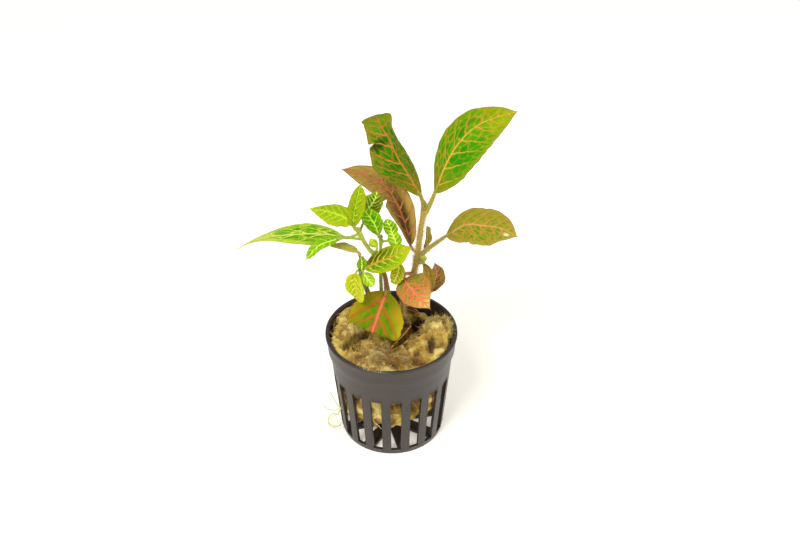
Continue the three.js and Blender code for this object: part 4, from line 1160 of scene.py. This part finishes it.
def pot_profile():
    """The wall's outline outside, over the rim and down inside, with the slots' levels on both sides"""
    levels = list(np.linspace(SLOT_LOW, SLOT_HIGH, SLOT_LEVELS))
    rim_low = POT_HEIGHT - RIM_DEPTH
    outside = [(FOOT_RADIUS, 0), (FOOT_RADIUS + 0.5, 0.35), (WALL_RADIUS_LOW, 0.9)]
    outside += [(wall_radius(z), z) for z in (*levels, 34, 38, COLLAR_LEVEL - 0.4)]
    outside += [(COLLAR_RADIUS, COLLAR_LEVEL + 0.4), (COLLAR_RADIUS + 0.25, 45)]
    outside += [(COLLAR_RADIUS_HIGH, rim_low), (RIM_RADIUS, rim_low + 0.4)]
    outside += [(RIM_RADIUS, POT_HEIGHT - 0.4), (RIM_RADIUS - 0.4, POT_HEIGHT)]
    lip = COLLAR_RADIUS_HIGH - WALL_THICKNESS
    foot = WALL_RADIUS_LOW - WALL_THICKNESS
    inside = [(lip + 0.3, POT_HEIGHT), (lip, POT_HEIGHT - 0.5)]
    inside += [(COLLAR_RADIUS - WALL_THICKNESS, COLLAR_LEVEL + 0.4)]
    inside += [(wall_radius(z) - WALL_THICKNESS, z) for z in (COLLAR_LEVEL - 0.4, 36, *reversed(levels))]
    inside += [(foot, 0.9), (foot - 0.1, 0)]
    return outside + inside


def slot_half_angle(radius, z):
    """Half the angle that a slot takes up at a radius, for bars as wide at every level"""
    width = 2 * math.pi * wall_radius(z) / SLOT_COUNT - BAR_WIDTH
    return math.asin(width / 2 / radius)


def ring_corners(radius, level, sectors, phase, half, steps, other_steps):
    """A ring of corners. In each sector the first steps cross a slot or spoke, which takes up the half
    angle on both sides of the sector's middle, and the other steps cross what is left."""
    pitch = 2 * math.pi / sectors
    turns = []
    for sector in range(sectors):
        centre = math.radians(phase) + sector * pitch
        turns += [centre + half * (2 * step / steps - 1) for step in range(steps)]
        turns += [centre + half + (pitch - 2 * half) * step / other_steps for step in range(other_steps)]
    return [(radius * math.cos(turn), radius * math.sin(turn), level) for turn in turns]


def pot_wall(shape):
    """The wall as a grid whose columns follow the slots' edges, with the slots left open"""
    profile = pot_profile()
    per_slot = SLOT_STEPS + BAR_STEPS
    columns = SLOT_COUNT * per_slot
    corners = []
    for radius, z in profile:
        half = slot_half_angle(radius, min(max(z, SLOT_LOW), SLOT_HIGH))
        corners += ring_corners(radius, z, SLOT_COUNT, SLOT_PHASE, half, SLOT_STEPS, BAR_STEPS)
    rows = len(profile)
    outer_first, inner_last = ROWS_BELOW_SLOTS, rows - ROWS_BELOW_SLOTS
    outer_last, inner_first = outer_first + SLOT_LEVELS - 1, inner_last - SLOT_LEVELS + 1
    slotted = [*range(outer_first, outer_last), *range(inner_first, inner_last)]
    faces = []
    for row in range(rows):
        for column in range(columns):
            if row in slotted and column % per_slot < SLOT_STEPS:
                continue
            onward = (column + 1) % columns
            a, b = row * columns, (row + 1) % rows * columns
            faces.append((a + column, a + onward, b + onward, b + column))
    for left in range(0, columns, per_slot):
        right = left + SLOT_STEPS
        for step in range(SLOT_LEVELS - 1):
            out, inn = outer_first + step, inner_last - step
            a, b = out * columns, (out + 1) * columns
            c, d = inn * columns, (inn - 1) * columns
            faces.append((a + left, b + left, d + left, c + left))
            faces.append((a + right, c + right, d + right, b + right))
        for step in range(left, right):
            low_out, low_in = outer_first * columns + step, inner_last * columns + step
            faces.append((low_out, low_in, low_in + 1, low_out + 1))
            high_out, high_in = outer_last * columns + step, inner_first * columns + step
            faces.append((high_out, high_out + 1, high_in + 1, high_in))
    shape.add(corners, faces)


def pot_floor(shape):
    """The floor: a ring, eight spokes and a hub"""
    radii = [0.02, 0.5 * HUB_RADIUS]
    radii += list(np.linspace(HUB_RADIUS, FLOOR_OPENING_RADIUS, FLOOR_STEPS + 1))
    radii.append(WALL_RADIUS_LOW - 0.5 * WALL_THICKNESS)
    corners = []
    for level in (0, FLOOR_THICKNESS):
        for radius in radii:
            half = math.asin(SPOKE_WIDTH / 2 / min(max(radius, HUB_RADIUS), FLOOR_OPENING_RADIUS))
            corners += ring_corners(radius, level, SPOKE_COUNT, SPOKE_PHASE, half, SPOKE_STEPS, OPENING_STEPS)
    floor_faces(shape, corners, len(radii))


def floor_faces(shape, corners, rows):
    """The floor's under side and top, its openings left out, and the edges between the two"""
    per_sector = SPOKE_STEPS + OPENING_STEPS
    count = SPOKE_COUNT * per_sector
    top = rows * count
    open_rows = range(2, 2 + FLOOR_STEPS)
    faces = []
    for row in range(rows - 1):
        for column in range(count):
            if row in open_rows and column % per_sector >= SPOKE_STEPS:
                continue
            onward = (column + 1) % count
            a, b = row * count, (row + 1) * count
            faces.append((a + onward, b + onward, b + column, a + column))
            faces.append((top + a + column, top + b + column, top + b + onward, top + a + onward))
    edges = [((rows - 1) * count, column, 1) for column in range(count)]
    for column in range(count):
        if column % per_sector >= SPOKE_STEPS:
            edges += [(open_rows.start * count, column, 1), (open_rows.stop * count, column, -1)]
    for first, column, flip in edges:
        onward = (column + 1) % count
        faces.append((first + column, first + onward, top + first + onward, top + first + column)[::flip])
    for spoke in range(SPOKE_COUNT):
        for column, flip in ((spoke * per_sector, -1), (spoke * per_sector + SPOKE_STEPS, 1)):
            for row in open_rows:
                a, b = row * count + column, (row + 1) * count + column
                faces.append((a, b, top + b, top + a)[::-flip])
    faces.append(tuple(range(count))[::-1])
    faces.append(tuple(range(top, top + count)))
    shape.add(corners, faces)


def pot_piece():
    """The wall and the floor, with slightly rounded edges"""
    shape = Shape()
    pot_wall(shape)
    pot_floor(shape)
    piece = shape.piece("net_pot_skin", ["net_pot"], "pot_plastic", pot_finish())
    bevel = piece.modifiers.new("soft_edges", "BEVEL")
    bevel.width = EDGE_ROUNDING * MM
    bevel.segments = 2
    bevel.limit_method = "ANGLE"
    bevel.angle_limit = math.radians(SHARP_EDGE)
    bpy.context.view_layer.objects.active = piece
    bpy.ops.object.modifier_apply(modifier=bevel.name)


def studio():
    """A plain pale floor that glows a little, soft light from all round and the lamps"""
    bpy.ops.mesh.primitive_plane_add(size=FLOOR_SIZE)
    floor = bpy.context.object
    floor.name = "studio_floor"
    finish = Finish("studio_floor")
    finish.set(Base_Color=FLOOR_WHITE, Roughness=0.9, Specular_IOR_Level=0.1, Emission_Color=FLOOR_WHITE,
               Emission_Strength=FLOOR_GLOW)
    floor.data.materials.append(finish.material)
    world = bpy.data.worlds.new("studio")
    bpy.context.scene.world = world
    world.use_nodes = True
    background = world.node_tree.nodes["Background"]
    background.inputs["Color"].default_value = WARM_WHITE
    background.inputs["Strength"].default_value = SKY_STRENGTH
    for name, lamp in LAMPS.items():
        soft_light(name, *lamp)


def soft_light(name, place, size, power):
    """A round lamp that faces the plant"""
    light = bpy.data.lights.new(name, "AREA")
    light.shape = "DISK"
    light.size = size
    light.energy = power
    light.color = WARM_WHITE[:3]
    lamp = bpy.data.objects.new(name, light)
    lamp.location = place
    towards = LAMP_TARGET - lamp.location
    lamp.rotation_euler = towards.to_track_quat("-Z", "Y").to_euler()
    bpy.context.scene.collection.objects.link(lamp)


def camera():
    """The photograph's own view"""
    data = bpy.data.cameras.new("photo_view")
    data.sensor_width = SENSOR_WIDTH
    data.lens = FOCAL_PIXELS * SENSOR_WIDTH / PHOTO_WIDTH
    data.clip_start = 10 * MM
    view = bpy.data.objects.new("photo_view", data)
    tilt = math.radians(CAMERA_ELEVATION)
    target = Vector(CAMERA_TARGET)
    back = Vector((0, -math.cos(tilt), math.sin(tilt)))
    view.location = (target + back * CAMERA_DISTANCE) * MM
    view.rotation_euler = (-back).to_track_quat("-Z", "Y").to_euler()
    view.rotation_euler.rotate_axis("Z", math.radians(CAMERA_ROLL))
    bpy.context.scene.collection.objects.link(view)
    bpy.context.scene.camera = view


camera()
studio()
bpy.context.scene.view_settings.view_transform = "Standard"
pot_piece()
wool_pieces()
root_piece()
for number, (name, stem) in enumerate(STEMS.items()):
    stem_piece(name, stem, number)
for number, (name, leaf) in enumerate(LEAVES.items()):
    leaf_piece(name, leaf, number, [name])
for number, (name, leaf) in enumerate(SMALL_LEAVES.items()):
    leaf_piece(name, leaf, FIRST_SMALL_LEAF + number, [])
